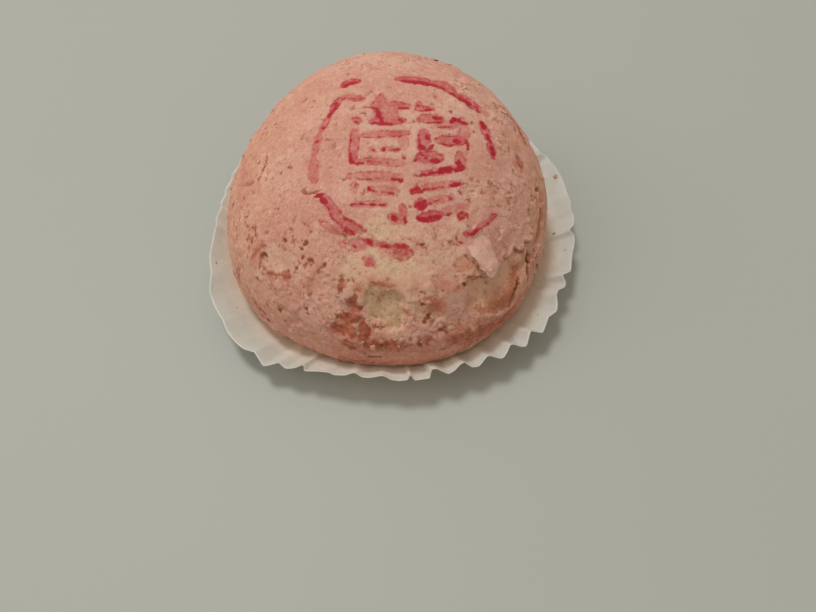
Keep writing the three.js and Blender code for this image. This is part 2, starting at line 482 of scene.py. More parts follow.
# %% Leaves of the crust
calm_crown = ramp(np.hypot(base[:, 0], base[:, 1] + 2), 25, 15)
front_belt = ramp(np.abs(azimuths + 94), 46, 22) * ramp(heights, 21, 15)
off_shoulder = (1 - 0.9 * ramp(bare_shoulder, -0.3, 0.5)) * (1 - 0.75 * butter)
patches = ramp(lumps(base, 13, 17.0), -0.45, 0.3)
broad_places = off_shoulder * (1 - 0.8 * calm_crown) * patches
low_places = off_shoulder * ramp(heights, 24, 12) * (0.2 + 0.5 * front_belt)
fine_places = off_shoulder * ramp(lumps(base, 8, 19.0), -0.1, 0.4) * (1 - 0.6 * calm_crown)
LEAVES = [  # size in millimetres, how flat they lie, edge levels, height of an edge, and where they are
    (7.5, 1.7, (-0.5, -0.1, 0.3, 0.7), 0.2, broad_places),
    (3.6, 2.4, (-0.6, -0.25, 0.1, 0.45), 0.24, low_places),
    (2.4, 1.3, (-0.1, 0.25, 0.6), 0.1, fine_places),
]
leaf_edge = np.zeros(len(base))
painted_edge_shadow = np.zeros(len(base))
for set_number, (size, flatness, levels, height, where) in enumerate(LEAVES):
    field = rough(base * np.array([1.0, 1.0, flatness]), size, 4, 21.0 + 6 * set_number)
    slope = 2.0 / size  # how fast the field changes in a millimetre
    for level_number, level in enumerate(levels):
        away = (field - level) / slope
        shift = 31.0 + 5 * level_number + 9 * set_number
        broken = ramp(lumps(base, 0.55 * size, shift), -0.1, 0.4) * where
        rise += height * broken * (ramp(away, -0.22, 0.22) - 0.5 + 0.6 * bell(away, 0.35, 0.3))
        leaf_edge = np.maximum(leaf_edge, broken * bell(away, 0.32, 0.28))
        # painted shadow along the lower side of each leaf's edge
        painted_edge_shadow = np.maximum(painted_edge_shadow, broken * bell(away, -0.2, 0.22))
flaky = off_shoulder * (0.25 + 0.75 * (1 - calm_crown)) * (0.4 + 0.6 * patches)
print("share of the crust on a leaf's edge:", (leaf_edge > 0.5).mean().round(3))

# %% [markdown]
# ## The torn hollow
# In front a piece of the crust has come away and the pale, sandy inside shows, with a deeper
# pocket at its left where the dye has soaked in. The crumb is made of grains: the distance to the
# nearest of many scattered crumbs, which is small over each crumb and large in the gaps.

# %% Crumb in the hollow
crumb_zone = ramp(torn_hollow, 0.1, 0.8)
crumb_bumps = 0.55 - grains(base, 0.7, 3.0) + 0.7 * rough(base, 2.2, 4, 5.0)
CRUMB_DEPTH = 0.3
POCKET_DEPTH = 0.7
rise += crumb_zone * (0.16 * crumb_bumps + 0.3 * lumps(base, 2.8, 41.0) - CRUMB_DEPTH)
pocket = blot(azimuth=-102, height=21, width=2, tall=1.6, shift=15.0)
rise -= POCKET_DEPTH * pocket
upper_rim = bell(torn_hollow, 0.1, 0.75) * ramp(heights, 21.5, 23.5)

CREAM_PLACES = [  # x, y, half-widths, strength
    (3, -26.5, 8, 3, 0.8), (-6.5, -27.5, 4, 2.5, 0.5), (0, -21, 5.5, 3, 0.8), (10, -26.5, 4.5, 2.5, 0.5),
    (1, -32, 5.5, 1.5, 0.4), (5, -33.5, 2.5, 2, 0.5), (12, -22.5, 4.5, 2.5, 0.35),
]
cream = np.maximum(ramp(torn_hollow, -0.7, 1.4) * (1 - pocket), 0)
for x, y, width, deep, strength in CREAM_PLACES:
    reach = np.hypot((base[:, 0] - x) / width, (base[:, 1] - y) / deep) + 0.5 * ragged(17.0)
    patch = ramp(reach, 1.35, 0.3) * ramp(heights, 15, 24)
    cream = np.maximum(cream, strength * patch)
    rise += patch * strength * (0.05 * crumb_bumps - 0.1)
print("share of the crust that is cream:", (cream > 0.4).mean().round(3))

# %% [markdown]
# ## Cracks, creases and fine ledges
# A crack is a narrow groove that fades at both ends. Each is a short line of given places,
# with its width and depth. The fine pale ledge under the bare shoulder is the same thing upside
# down: a low ridge, where the lower dough stands out.

# %% Lines on the crust
FLANK_CRACKS = [  # places, width, depth, darkness
    ([(-28.5, 20), (-29.5, 18.5), (-30.5, 17.5)], 0.9, 1.3, 1.0),
    ([(-30, 18), (-33, 16), (-34.5, 13)], 0.6, 1.1, 1.0),
    ([(-38, 17.5), (-41, 16), (-43, 15), (-45.5, 13.5)], 0.5, 0.9, 0.95),
    ([(-6, 23.5), (-11, 22), (-15.5, 21), (-20, 19.5), (-23.5, 18.5)], 0.45, 0.5, 0.8),
    ([(2.5, 26), (-4, 25.5), (-10, 24), (-15, 23), (-21, 21.5)], 0.3, 0.3, 0.4),
    ([(-50, 9), (-56, 8.5), (-63, 9.5)], 0.3, 0.35, 0.5),
    ([(-64, 19), (-65, 16), (-64.5, 13)], 0.25, 0.2, 0.35),
    ([(-57, 20), (-57.5, 17.5)], 0.25, 0.2, 0.35),
    ([(-1, 18), (-9, 17), (-17, 15.5)], 0.35, 0.4, 0.5),
    ([(-172, 27), (-169, 29), (-167, 31)], 0.25, 0.3, 0.5),
    ([(-152.5, 29), (-150.5, 30.5), (-147.5, 31), (-145.5, 30)], 0.26, 0.3, 0.6),
    ([(-140, 8), (-134, 7), (-126, 6.5)], 0.3, 0.4, 0.5),
    ([(-115, 7.5), (-100, 6.5), (-88, 6.5)], 0.3, 0.35, 0.55),
    ([(38, 22), (46, 23.5), (57, 22.5), (66, 24)], 0.35, 0.5, 0.6),
    ([(92, 14), (104, 16), (118, 14.5)], 0.35, 0.45, 0.5),
    ([(146, 19), (156, 20.5), (163, 19)], 0.3, 0.4, 0.5),
]
CROWN_CRACKS = [
    ([(-18.5, -12.5), (-16.5, -13.5), (-13.5, -13)], 0.3, 0.45, 0.8),
    ([(-6, 8), (-4.5, 9.5), (-3.5, 10.5), (-2.5, 9)], 0.22, 0.25, 0.5),
    ([(-33.5, -4.5), (-31, -6.5), (-28.5, -6.5)], 0.25, 0.35, 0.5),
    ([(27.5, 20), (29.5, 17.5), (30, 15)], 0.3, 0.4, 0.6),
    ([(29, 14), (31, 12), (32, 9), (33, 7)], 0.4, 0.7, 1.0),
    ([(-13, 22), (-10.5, 23), (-8.5, 22.5)], 0.25, 0.25, 0.5),
    ([(-18, 19.5), (-15.5, 20.5)], 0.25, 0.25, 0.5),
    ([(1.5, 20), (4, 22.5), (3.5, 25)], 0.25, 0.25, 0.4),
    ([(8.5, 3), (5, 2), (3.5, 2)], 0.22, 0.3, 0.5),
    ([(-20.5, 10.5), (-18.5, 12)], 0.22, 0.25, 0.4),
]
LEDGE_LINE = [(-40.5, 12.5), (-43, 13), (-45, 13), (-49, 14), (-51, 14), (-54, 15), (-59, 16.5)]

# this mask gathers the dark marks of the crust and, further down, painted shade
dark_marks_and_shade = np.zeros(len(base))
cracks = [(places(line, on_flank), *size) for line, *size in FLANK_CRACKS]
cracks += [(places(line, on_crown), *size) for line, *size in CROWN_CRACKS]
for line, width, depth, darkness in cracks:
    distance, along = line_reach(line)
    wander = np.abs(distance + 0.28 * ragged(19.0, 1.6))
    fade = np.sin(math.pi * np.clip(along, 0.06, 0.94)) ** 0.6
    groove = bell(wander, 0, width * (0.55 + 0.45 * fade)) * fade
    rise -= depth * groove
    dark_marks_and_shade = np.maximum(dark_marks_and_shade, darkness * groove)

LEDGE_WIDTH = 0.28
LEDGE_HEIGHT = 0.34
distance, along = line_reach(places(LEDGE_LINE, on_flank))
ledge = bell(distance + 0.2 * ragged(23.0), 0, LEDGE_WIDTH)
ledge *= np.sin(math.pi * np.clip(along, 0.03, 0.97)) ** 0.5
rise += LEDGE_HEIGHT * ledge
print("cracks:", len(cracks), "share of the crust that is dark:", (dark_marks_and_shade > 0.4).mean().round(4))

# %% Short brown marks and painted shadows
# Edges of flakes, bits of scorched skin and small tears: width, strength, then azimuth and height of
# each place. The longer ones lie round the left patch, the torn hollow and the bare shoulder. Two
# strokes are painted shadow of the loose tongue, along its left edge and under its tip.
BROWN_AND_SHADOW_MARKS = [
    (0.5, 0.7, -160, 27.5, -157, 26.8, -157.5, 25.5, -154.5, 25.2, -153, 25.8),
    (0.5, 0.6, -155.5, 24, -153, 23.8, -152, 24.5), (0.5, 0.6, -161, 24.5, -159, 23.8, -158.5, 22.5),
    (0.6, 0.6, -148, 23.3, -146.5, 22.5, -146, 21.5), (0.8, 0.6, -150.5, 22),
    (0.5, 0.6, -150, 26.3, -147.5, 26, -146.5, 25), (0.7, 0.6, -163, 29.5), (0.7, 0.6, -165.5, 27),
    (0.6, 0.5, -143, 29.8), (0.7, 0.6, -142.5, 24.5, -141.5, 23.3, -140, 22.3, -138, 22, -136.5, 22.3),
    (0.6, 0.6, -138.5, 23.5, -136.5, 23), (1, 0.9, -139, 19), (1.2, 1, -136, 28), (1.3, 1, -127, 29),
    (0.9, 0.6, -133.5, 29), (0.9, 0.6, -132.5, 28.3), (0.9, 0.8, -125.5, 27),
    (0.8, 1, -127, 25.3, -126, 25.3, -126, 24.5, -127, 24.2), (0.7, 0.8, -125.3, 26.3),
    (0.9, 1, -123.3, 27, -122.5, 27.3, -120.3, 27), (0.8, 0.8, -117.5, 26, -117, 26.5, -115.5, 27.3),
    (0.9, 0.7, -117.5, 22), (0.9, 1, -118, 19), (0.8, 0.6, -117, 18), (0.8, 1, -128, 16.5, -127, 15.2),
    (0.8, 0.8, -125, 13), (0.8, 0.9, -137, 12, -133, 11), (0.7, 0.8, -135.5, 9.5, -131, 9.5),
    (0.6, 0.8, -134.5, 15, -130.5, 14), (0.5, 0.8, -140, 13, -135.5, 11), (0.5, 0.7, -138, 10.5, -134, 8.5),
    (0.5, 0.7, -143, 14.5, -139, 12.8), (0.9, 0.7, -104.5, 25.8), (0.9, 0.7, -102.3, 25.9),
    (0.8, 0.5, -96, 25.4, -94.5, 25.6, -91, 25, -88, 24.8), (0.8, 0.6, -101, 23.5),
    (1.2, 0.9, -106.5, 19.3), (0.8, 0.4, -84, 21.5, -82.5, 20.5, -80.5, 20),
    (0.7, 0.7, -94, 18, -91.5, 17.5, -90, 18), (0.8, 0.6, -88, 19.7), (1, 1, -91.3, 14), (1, 1, -90, 13.4),
    (0.8, 1, -95.5, 9.8, -91.5, 9.5), (0.8, 0.9, -81.5, 15.3), (0.9, 0.9, -79, 15),
    (1.2, 0.9, -79.5, 14, -78.5, 12.8), (1.1, 1, -76.5, 22.2), (1.2, 1, -74.5, 19.8, -76.5, 18.5),
    (0.9, 0.9, -72, 16.5, -70, 16.8, -70, 15.5), (1.2, 0.8, -71.5, 10.8), (0.9, 0.9, -71.8, 30.6),
    (0.5, 0.5, -59.5, 25.4, -57.5, 25, -55.5, 23.5, -53, 23, -51.5, 23.2), (1.1, 0.9, -60, 23.8),
    # the last stroke here paints the shadow under the tongue's tip
    (0.9, 0.7, -51, 21.3), (0.8, 0.5, -62.5, 23.6), (0.9, 0.8, -51, 23.5, -48, 23.5),
    # the last stroke here paints the shadow along the tongue's left edge
    (0.9, 1, -25.5, 17, -25.5, 15.5), (0.45, 0.5, -55.5, 28, -53, 26, -51, 24.5),
    (1.6, 1.2, -29, 19.5, -30, 17.5), (1, 1.2, -30.5, 17.5, -33, 16, -34.5, 13),
    (0.9, 1.1, -38, 17.5, -41, 16, -43, 15, -45.5, 13.5), (0.9, 0.9, -45.5, 11.5),
    (0.9, 0.9, -7, 25.5, -5, 24.6), (0.8, 0.8, -11, 26), (0.8, 0.7, -12.5, 25.5), (0.8, 0.7, -22.5, 29.8),
    (0.8, 0.7, -25, 28.5), (0.9, 0.6, -19.5, 30.5), (0.9, 0.5, -27, 31.5), (0.7, 0.6, 0, 33, 3, 33.3),
    (0.9, 0.6, -7, 31.5), (0.9, 0.7, 9, 34.5), (0.7, 0.8, 24, 31, 20.5, 30.5, 15, 30.3, 10.5, 29),
    (0.6, 0.7, 18.5, 32, 14, 32), (0.9, 0.6, 29, 32.5),
]
BROWN_AND_SHADOW_STRENGTH = 0.95
BROWN_AND_SHADOW_DEPTH = 0.25
# brown marks, and in two places painted shadow of the loose tongue
brown = drawn(BROWN_AND_SHADOW_MARKS, on_flank, softness=0.3, wander=0.42, shift=71.0, slim=0.82, grain=0.9)
brown *= BROWN_AND_SHADOW_STRENGTH
rise -= BROWN_AND_SHADOW_DEPTH * brown
dark_marks_and_shade = np.maximum(dark_marks_and_shade, brown)
print("share under brown marks:", (brown > 0.4).mean().round(4))

# %% [markdown]
# ## Pits
# Bursting bubbles leave small dark pits, most of them in groups. A few hundred are scattered by a
# seeded generator, thickest round the middles that are given here. Each is pressed into the points
# of the net that lie within its reach.

# %% Scatter the pits
PIT_GROUPS = [  # azimuth, height, spread in millimetres, count
    (-152, 28, 3.2, 12), (-142, 24, 2.6, 6), (-131, 29, 3.4, 10), (-146, 18, 4, 8), (-125, 20, 4, 6),
    (-78, 20, 3.2, 10), (-66, 24, 2.2, 6), (-100, 26, 2.6, 6), (-14, 25.5, 3, 12), (-6, 28, 3.4, 10),
    (25, 28, 6, 14), (75, 25, 8, 16), (120, 30, 6, 14), (150, 28, 6, 12), (-178, 29, 4, 12),
]
CROWN_PITS = [  # x, y, spread in millimetres, count
    (6, -6, 3.5, 8), (4, -1, 3, 6), (14, -13, 4, 10), (-16, -2, 3.4, 9), (-13, 6, 3, 7), (-7, 4, 1.6, 5),
    (16, -14.5, 2, 5), (12, 20, 6, 12), (20, 10, 5, 9), (-18, -19, 4, 8), (-2, 27, 5, 8), (24, -6, 4, 8),
]
STRAY_PITS = 150
PIT_DEPTH = 0.18
SMALLEST_PIT = 0.2
PIT_SIZE_RANGE = 0.34

pit_middles = []
groups = [(on_flank(a, h), spread, count) for a, h, spread, count in PIT_GROUPS]
groups += [(on_crown(x, y), spread, count) for x, y, spread, count in CROWN_PITS]
for middle, spread, count in groups:
    near = np.flatnonzero(((base - middle) ** 2).sum(1) < (1.6 * spread) ** 2)
    pull = np.exp(-((base[near] - middle) ** 2).sum(1) / (2 * (0.7 * spread) ** 2))
    pit_middles += list(chance.choice(near, count, replace=False, p=pull / pull.sum()))
skin_points = np.flatnonzero((heights > 5) & (bare_shoulder < 0))
pit_middles += list(chance.choice(skin_points, STRAY_PITS, replace=False))

tree = KDTree(len(base))
for number, spot in enumerate(base):
    tree.insert(spot, number)
tree.balance()

pit = np.zeros(len(base))
for middle in pit_middles:
    size = SMALLEST_PIT + PIT_SIZE_RANGE * chance.random() ** 3
    stretch = chance.normal(size=3) * 0.35
    near = np.array([number for _, number, _ in tree.find_range(base[middle], 2.2 * size + 0.3)])
    apart = base[near] - base[middle]
    apart = apart - np.outer(apart @ stretch, stretch) * 0.8
    dip = np.exp(-((np.linalg.norm(apart, axis=1) / size) ** 2.4))
    pit[near] = np.maximum(pit[near], dip * (0.25 + 0.75 * chance.random() ** 2))
rise -= PIT_DEPTH * pit
print("pits:", len(pit_middles))

# %% [markdown]
# ## The red stamp
# The ornament is the traditional doubled character for joy, cut in a wooden block, dipped in red
# food dye and pressed on the dough before baking. The dye prints as a thin pink film, and gathers in
# a dark crimson line along the lower edges of the cuts. The block rocked as it was pressed, so
# parts are faint, broken or blurred. It could be painted as a flat pattern, but a list of strokes
# stays sharp from near by and is easy to change.

# %% Strokes of the pink film
# Each stroke: width, strength, then the places it runs through, in plan from the stamp's middle
FILM_LEFT = [
    (2, 0.7, -5.5, 13.5, -5.5, 11.5), (2, 0.6, -7, 11, 0.7, 11), (1.8, 0.9, -6, 10, -5.8, 8, -5, 6.5),
    (3.6, 0.5, -3.6, 9.5, -3.6, 7.5), (2, 0.7, -7.2, 6.7, -3.5, 6.7, -0.4, 7.1),
    (1.5, 0.6, -11.3, 7.3, -9.8, 7), (2, 0.65, -11, 4.5, -11, -2.8), (1.6, 0.6, -9, 3.3, -5, 3.3, 0.5, 3.8),
    (2, 0.4, -0.3, 3, -0.3, 0), (1.6, 0.5, -11, -3, -5.5, -3.1, -0.5, -3.7),
    (1.4, 0.5, -7.4, 0, -6.6, -0.5), (1.2, 0.5, -4.5, -0.3, -1, -0.3),
    (1.8, 0.5, -11.7, -6.2, -6, -6.3, -1, -6.6), (1.4, 0.5, -10.5, -7.5, -10.5, -9.5),
    (1.7, 0.5, -7.4, -9, -1.5, -9.5), (1.3, 0.55, -11, -12, -4, -12), (1.5, 0.6, -0.5, -12, 0, -15.5),
    (2, 0.6, -2.8, -14.3, -1.2, -15.2),
]
FILM_RIGHT = [
    (1.6, 0.7, 3, 11.8, 3, 10.5, 6, 10.8), (2.3, 0.55, 3.2, 7.6, 8, 8.2), (1.9, 0.65, 10.3, 8, 13.7, 8.5),
    (1.8, 0.4, 7.2, 6.3, 13, 7.7), (2.3, 0.45, 13, 7.5, 12.8, 4), (2.6, 0.7, 4, 4, 4, -0.3),
    (2.2, 0.7, 7, 2.4, 13, 3.6), (2.6, 0.75, 3.2, -1.8, 7.5, -1.5), (2.2, 0.6, 11.8, 0, 11.8, -3),
    (1.5, 0.6, 3.8, -5.3, 7.5, -4.5, 12.7, -2.8), (1.5, 0.5, 1.6, -9, 5.5, -8.2, 12, -6.2),
    (2.4, 0.85, 2.8, -12, 4.2, -11.7), (1.5, 0.5, 4.8, -11.3, 7.5, -10.4, 10, -9.7),
    (1.9, 0.75, 3.2, -14.4, 7.5, -13.4), (1.6, 0.4, 8, -12.8, 13.3, -10.8),
    (1.9, 0.8, 11.8, -13, 13, -12.8),
]
FILM_RING = [
    (1.6, 0.55, -9.6, 12.8, -12, 13.8, -14, 13.7), (1.6, 0.75, -14, 13.7, -15.4, 12.7, -16.4, 10),
    (1.3, 0.65, -16.4, 10, -17.6, 7, -18.4, 5), (1.5, 0.5, -18.4, 5, -19.2, 2, -19.6, -1),
    (1.9, 0.55, -19.6, -1, -19.7, -4, -19.3, -6.4), (1.7, 0.85, -14.3, 17.6, -12.5, 18.6, -10.6, 18.2),
    (2.2, 0.75, -1.8, 19.5, 3, 19.4, 6, 19.2), (2.4, 0.8, 6, 19.2, 9, 18.5, 11, 17),
    (2.4, 0.8, 11.6, 16.2, 14, 15.2, 16.4, 13.3), (1.9, 0.35, 16.4, 14, 18.4, 12.6),
    (1.6, 0.7, 16.8, 9.8, 17.8, 7.5, 18.7, 5), (1.8, 0.7, 18.7, 5, 19.5, 2),
    (1.3, 0.6, 12.8, -16.3, 14.6, -15.8, 17, -13.6, 19.8, -10.6),
    (1.9, 0.6, -17, -10, -15.2, -12.3, -13.8, -14.6), (1.9, 0.6, -13.8, -14.6, -12, -16, -9, -17),
    (2, 0.5, -13.3, -18.8, -11.5, -19.4, -9, -20), (1.2, 0.7, -9, -18.6, -6.3, -19.3, -3.2, -20),
    (2.8, 0.85, -2.8, -20.6, 1, -21), (2.1, 0.75, -8, -22, -6.6, -22.6), (1.8, 0.4, -5, -20.6, -3.4, -21.2),
    (1.6, 0.45, -17.5, -14.8, -15.8, -16, -13.4, -17), (1.2, 0.35, 3.5, -20.8, 5, -20.5),
]
print("strokes of the film:", len(FILM_LEFT + FILM_RIGHT + FILM_RING))

# %% Strokes of the dark dye
# They lie along the edges of the film, where the dye has gathered
DARK_LEFT = [
    (0.7, 0.9, -10, 10.2, -8.3, 10.5, -6.2, 10), (1.2, 1, -6, 9.8, -5.8, 8.3, -5, 6.3),
    (0.9, 1, -7.3, 6.3, -5, 6, -2.7, 6), (0.8, 0.8, -1.5, 10.3, 0.7, 10.4), (0.6, 0.5, -1.8, 12, 0.5, 12),
    (1.2, 0.6, -1.5, 7.3, -0.6, 6.4), (0.8, 0.8, -11.2, 6.8, -10, 6.6), (0.6, 0.7, -11.8, 4.5, -11.8, -1),
    (1.1, 1, -11.7, -1, -11.6, -2.8, -10.8, -3.4), (0.6, 0.9, -10.8, -3.4, -8.2, -3.4),
    (0.6, 0.7, -8, -3, -6, -3.2, -2, -3.8), (0.6, 0.8, -9.2, 3, -8, 2.6, -1.8, 2.8),
    (0.9, 0.9, -7.1, -0.2, -6.5, -0.6), (1, 1, -4.5, -0.4), (0.8, 1, -2.9, -0.5, -1, -0.5),
    (0.6, 0.6, -11.8, -5.8, -11.7, -7.2), (0.6, 0.9, -10, -6.9, -7, -7), (0.6, 0.7, -6, -6.8, -4.6, -6.9),
    (0.9, 1, -2.8, -6.9, -0.5, -7.2), (1, 0.8, -10.5, -7.9, -10.4, -8.6),
    (0.6, 0.8, -7.6, -8.6, -7.4, -9.3, -4.5, -9.6, -1.4, -9.8), (0.8, 0.8, -1.6, -10.2),
    (0.6, 0.7, -12.8, -12.2, -10.8, -12), (0.7, 1, -10.8, -12, -9, -12, -6, -12.2, -4.2, -12.2),
    (0.8, 0.7, -0.6, -12, -0.5, -12.8), (1.2, 1, 0, -14.5, 0.3, -15.8), (1.5, 1, -2.7, -14.3, -1.6, -15.2),
    (1, 1, -0.2, -2.3), (0.9, 0.9, 2, -2.7),
]
DARK_RIGHT = [
    (0.7, 0.7, 3, 11.8, 3, 10.6), (0.9, 1, 4.2, 10.2, 5.8, 10.5), (0.6, 0.6, 3, 7.5, 3, 6.5),
    (0.6, 0.8, 4.5, 6.6, 7.8, 7.3), (0.9, 0.9, 6, 8.3, 7.8, 8.4), (0.7, 0.7, 8, 9.2, 8, 7.6),
    (1.1, 1, 10, 7.7, 10.8, 8.7, 12.3, 8.4, 13.7, 8.3), (0.5, 0.7, 7.2, 5.8, 9.2, 6.3, 11.2, 6.8),
    (1.6, 1, 3.4, 0.8, 4, -0.1), (0.9, 0.9, 4, -0.2, 5.4, 0, 6, 1.2), (0.9, 0.9, 4.4, 3.5, 5, 2.5),
    (0.6, 0.7, 3, 3.7, 3, 1.5), (1.7, 1, 11.2, 3), (0.6, 0.8, 7, 1.6, 9.8, 1.8, 12.3, 2.5),
    (0.9, 0.9, 13.2, 4, 13.7, 2.5, 13.5, 1.3), (0.8, 0.8, 3.6, -1.3), (0.8, 0.8, 4.5, -1.8),
    (1, 1, 5.7, -2.4, 7.3, -2.3), (0.8, 0.7, 7.7, -0.7), (1.3, 0.8, 11.6, -1.5, 11.6, -3),
    (1, 0.9, 3.5, -5.7, 4.5, -5.6), (0.7, 0.8, 5, -5.2, 7, -4.8), (1.5, 1, 7.2, -4.7, 8.7, -4, 9.9, -3.6),
    (1.4, 1, 10.8, -3.7, 12.5, -3), (1.5, 1, 1.5, -9.6, 2.4, -9, 3.5, -9.2),
    (0.8, 0.7, 2.5, -7.6, 2.7, -8.6), (0.6, 0.8, 3.5, -9, 5.5, -8.5, 8.5, -7.7),
    (0.9, 1, 9.5, -7.3, 11.6, -6.6), (1, 0.9, 4.1, -11.2), (2, 1, 2.5, -12.3, 4, -12),
    (0.7, 0.7, 4.6, -11.8, 6.2, -11.2, 7, -10.6), (0.8, 0.7, 9.6, -10),
    (1.2, 1, 3, -14.6, 4.4, -14.8, 6, -14.3, 7.5, -13.8), (0.6, 0.7, 8.5, -13.4, 10, -12.8),
    (1.7, 1, 11.5, -13, 12.3, -13), (0.7, 0.8, 13.2, -12.2, 13.3, -13),
]
DARK_RING = [
    (1.1, 0.8, -15.4, 13, -15.4, 11.8, -15.7, 10.8), (1, 1, -16.3, 10, -17, 9.2), (0.8, 0.8, -18, 6),
    (0.8, 0.7, -19, 2.8), (0.6, 0.7, -9.8, 13, -12.5, 13.3, -14, 13.5),
    (1, 1, -14, 17, -13, 17.6, -11.5, 18.2, -10.6, 18), (1.5, 1, -0.5, 18.8, 1.6, 18.7, 4, 18.4, 7, 18.4),
    (1, 0.9, 7, 18.3, 9, 17.5), (1.2, 1, 10, 16.4, 11.3, 15.6), (1.4, 1, 12, 15.3, 13, 15, 14.5, 14.3),
    (0.8, 0.7, 15.6, 14.2, 16.6, 12.4), (1.3, 1, 17, 9.6, 17.7, 8.3), (1, 0.9, 18, 6.8, 18.8, 5),
    (1.4, 1, 19, 4, 19.6, 2.2), (0.9, 0.9, 13, -16.3, 14.5, -16, 16, -14.7),
    (0.6, 0.6, 16, -14.7, 18.4, -12.5, 19.8, -10.8), (1.2, 1, -17.5, -10.2, -16.7, -11.3),
    (0.8, 1, -19, -9.7, -17.3, -9.5), (0.5, 0.7, -16.2, -12, -15, -14.5, -13, -16),
    (1.1, 1, -12.5, -16.5, -11.5, -17.2, -10.4, -17.6),
    (0.5, 0.8, -14, -12.5, -12.5, -14.5, -10.5, -15.5, -8.5, -16.6), (1.1, 1, -8, -17),
    (0.9, 0.7, -12.5, -19), (0.8, 0.8, -11, -19.5, -10, -20),
    (0.9, 0.9, -8.8, -18.6, -7.6, -19, -6.3, -19.5), (0.7, 0.8, -6.3, -19.5, -3, -20),
    (1.2, 0.7, -2.5, -20, 1, -20), (1, 0.7, -2.5, -21, 0.5, -21), (0.8, 0.5, -7.5, -22),
    (0.7, 0.8, 11.4, -18, 12.4, -18.2), (0.9, 0.6, -17.2, -14.7),
]
print("strokes of dark dye:", len(DARK_LEFT + DARK_RIGHT + DARK_RING))

# %% Brown specks on the crown
# Small scorched flakes between the strokes and beside the stamp, measured from its middle too
CROWN_SPOTS = [
    (0.8, 0.7, -13.5, -6.5, -12.7, -6.8), (0.8, 0.6, -11.7, -8.2), (1, 1, -21.7, -18.8),
    (0.9, 0.6, -22.4, -21), (0.8, 0.8, -21.3, -21.8, -20.5, -21.4, -19.5, -22), (0.8, 0.6, -18.3, -23.3),
    (0.8, 0.6, -17, -22.5), (1, 0.5, -21, -14.5), (1.3, 0.5, -21.3, -8), (0.9, 0.6, -8.5, -9.8),
    (1, 0.9, -16.5, 2.7), (1.1, 0.6, -22.3, 5), (1, 0.5, -21.4, 3.5), (1.3, 0.5, -15, 6.5),
    (1.4, 0.5, -15.2, 1), (1, 0.5, -15.8, -3.8), (1, 0.6, -21, 13), (1, 0.5, -22.5, 16.5),
    (1, 0.5, -18, 15), (1.1, 0.5, -13.3, 21.8), (1, 0.7, -11.6, 10.7), (1.2, 0.9, -8.8, 8.7),
    (0.7, 0.7, -10.4, 6.2), (0.8, 0.5, -8, 1.4), (0.8, 0.8, -1.2, 4), (0.7, 0.6, -1.8, 10.7),
    (0.9, 1, 10, 10.7), (1.1, 0.6, 13, 21.5), (1, 0.6, 15, 22), (0.8, 0.7, 5.8, 12.2),
    (0.8, 0.5, 7.3, 13.5), (1.6, 0.45, 6.6, 14.4), (1.5, 0.6, 21, 17.5), (0.8, 0.8, 5.8, -3.7),
    (0.8, 0.6, 1.2, -12.3), (1, 0.4, 7, -16.8), (1, 0.6, 13.8, -14.7), (0.8, 0.5, 7, -15),
    (1.6, 0.5, 18.5, -4.5), (1, 0.5, 14.4, -5), (0.8, 0.6, 15.8, -5), (1.1, 0.6, 17, -7.3),
    (0.9, 0.6, 20.5, -8.5), (0.9, 0.9, 12, -8.5), (0.8, 0.6, 11.6, -8), (0.9, 0.9, 13.8, -9.3),
    (1, 0.4, 6.4, -22), (0.8, 0.8, 2.8, -19.4, 4, -19.7, 4.7, -20), (0.9, 0.9, 11, -17.3),
    (0.8, 0.6, 1.3, -18.6), (1, 0.6, 9.2, -18.2, 11.5, -18.6),
    (0.7, 0.7, -14, -17, -12.8, -17.5, -12.3, -18), (0.7, 0.8, -31, 3, -31, 1, -32, -1.5),
    (1, 0.9, -32.5, -2), (0.7, 0.6, -33.5, -0.5, -33, -1), (1, 0.9, -25, -2),
    (0.5, 0.5, -26, -0.5, -26.5, 0), (0.9, 0.5, -28, 4), (1, 0.5, -22.5, 4.5),
    (0.5, 0.6, -29.5, -4, -29, -5, -29, -6),
    (0.7, 0.9, -34.5, -11.5, -33, -11.5, -33, -13.5, -34, -14.5, -35, -13.5, -34.5, -11.5),
    (1.6, 0.5, -31, -15.5), (1.3, 1, -31.5, -17.5, -30.5, -17.5, -30.5, -18.5),
    (0.8, 0.7, -32, -18.5, -32, -19.5), (0.8, 0.7, -30, -14), (1, 0.6, -24, -15), (0.8, 0.7, -23.5, -17),
    (0.8, 0.7, -23.5, -18), (1, 0.8, -26, -18), (0.8, 0.5, -25.5, -13), (0.8, 0.6, -20.5, -15),
    (0.8, 0.6, -20, -16), (0.8, 0.8, 20.5, 18.5, 22.5, 19, 25, 16.5, 27, 14.5, 27.5, 13, 28.5, 11.5),
    (0.8, 0.7, 25.5, 5, 26, 3.5), (0.9, 0.6, 23.5, 5), (0.8, 0.6, 22.5, 8.5),
    (0.5, 0.6, 20.5, 4.5, 22.5, 4.5), (0.8, 0.7, 16.5, -7), (0.9, 0.8, 23.5, -3), (0.9, 0.6, 21, -8.5),
    (0.9, 0.7, 23, -7), (0.9, 0.8, 30, -1.5), (0.9, 0.7, 28, -5.5),
]
print("specks:", len(CROWN_SPOTS))

# %% Press the stamp
FILM = FILM_LEFT + FILM_RIGHT + FILM_RING
SPECK_STRENGTH = 0.85
SPECK_DEPTH = 0.2
DYE_DENT = 0.07
PRINT = {"finder": on_crown, "middle": STAMP_MIDDLE, "softness": 0.28}
DARK_PRINT = {**PRINT, "wander": 0.3, "shift": 81.0}

film, gap = strokes(FILM, **PRINT, wander=0.34, shift=27.0, slim=1.3)
haze = drawn(FILM, on_crown, softness=1.3, wander=0.5, shift=29.0, middle=STAMP_MIDDLE)
patchy = ramp(rough(base, 2.6, 4, 77.0), -0.9, 0.6)
ink = np.maximum(film * (0.68 + 0.45 * patchy), 0.06 * haze).clip(0, 1)
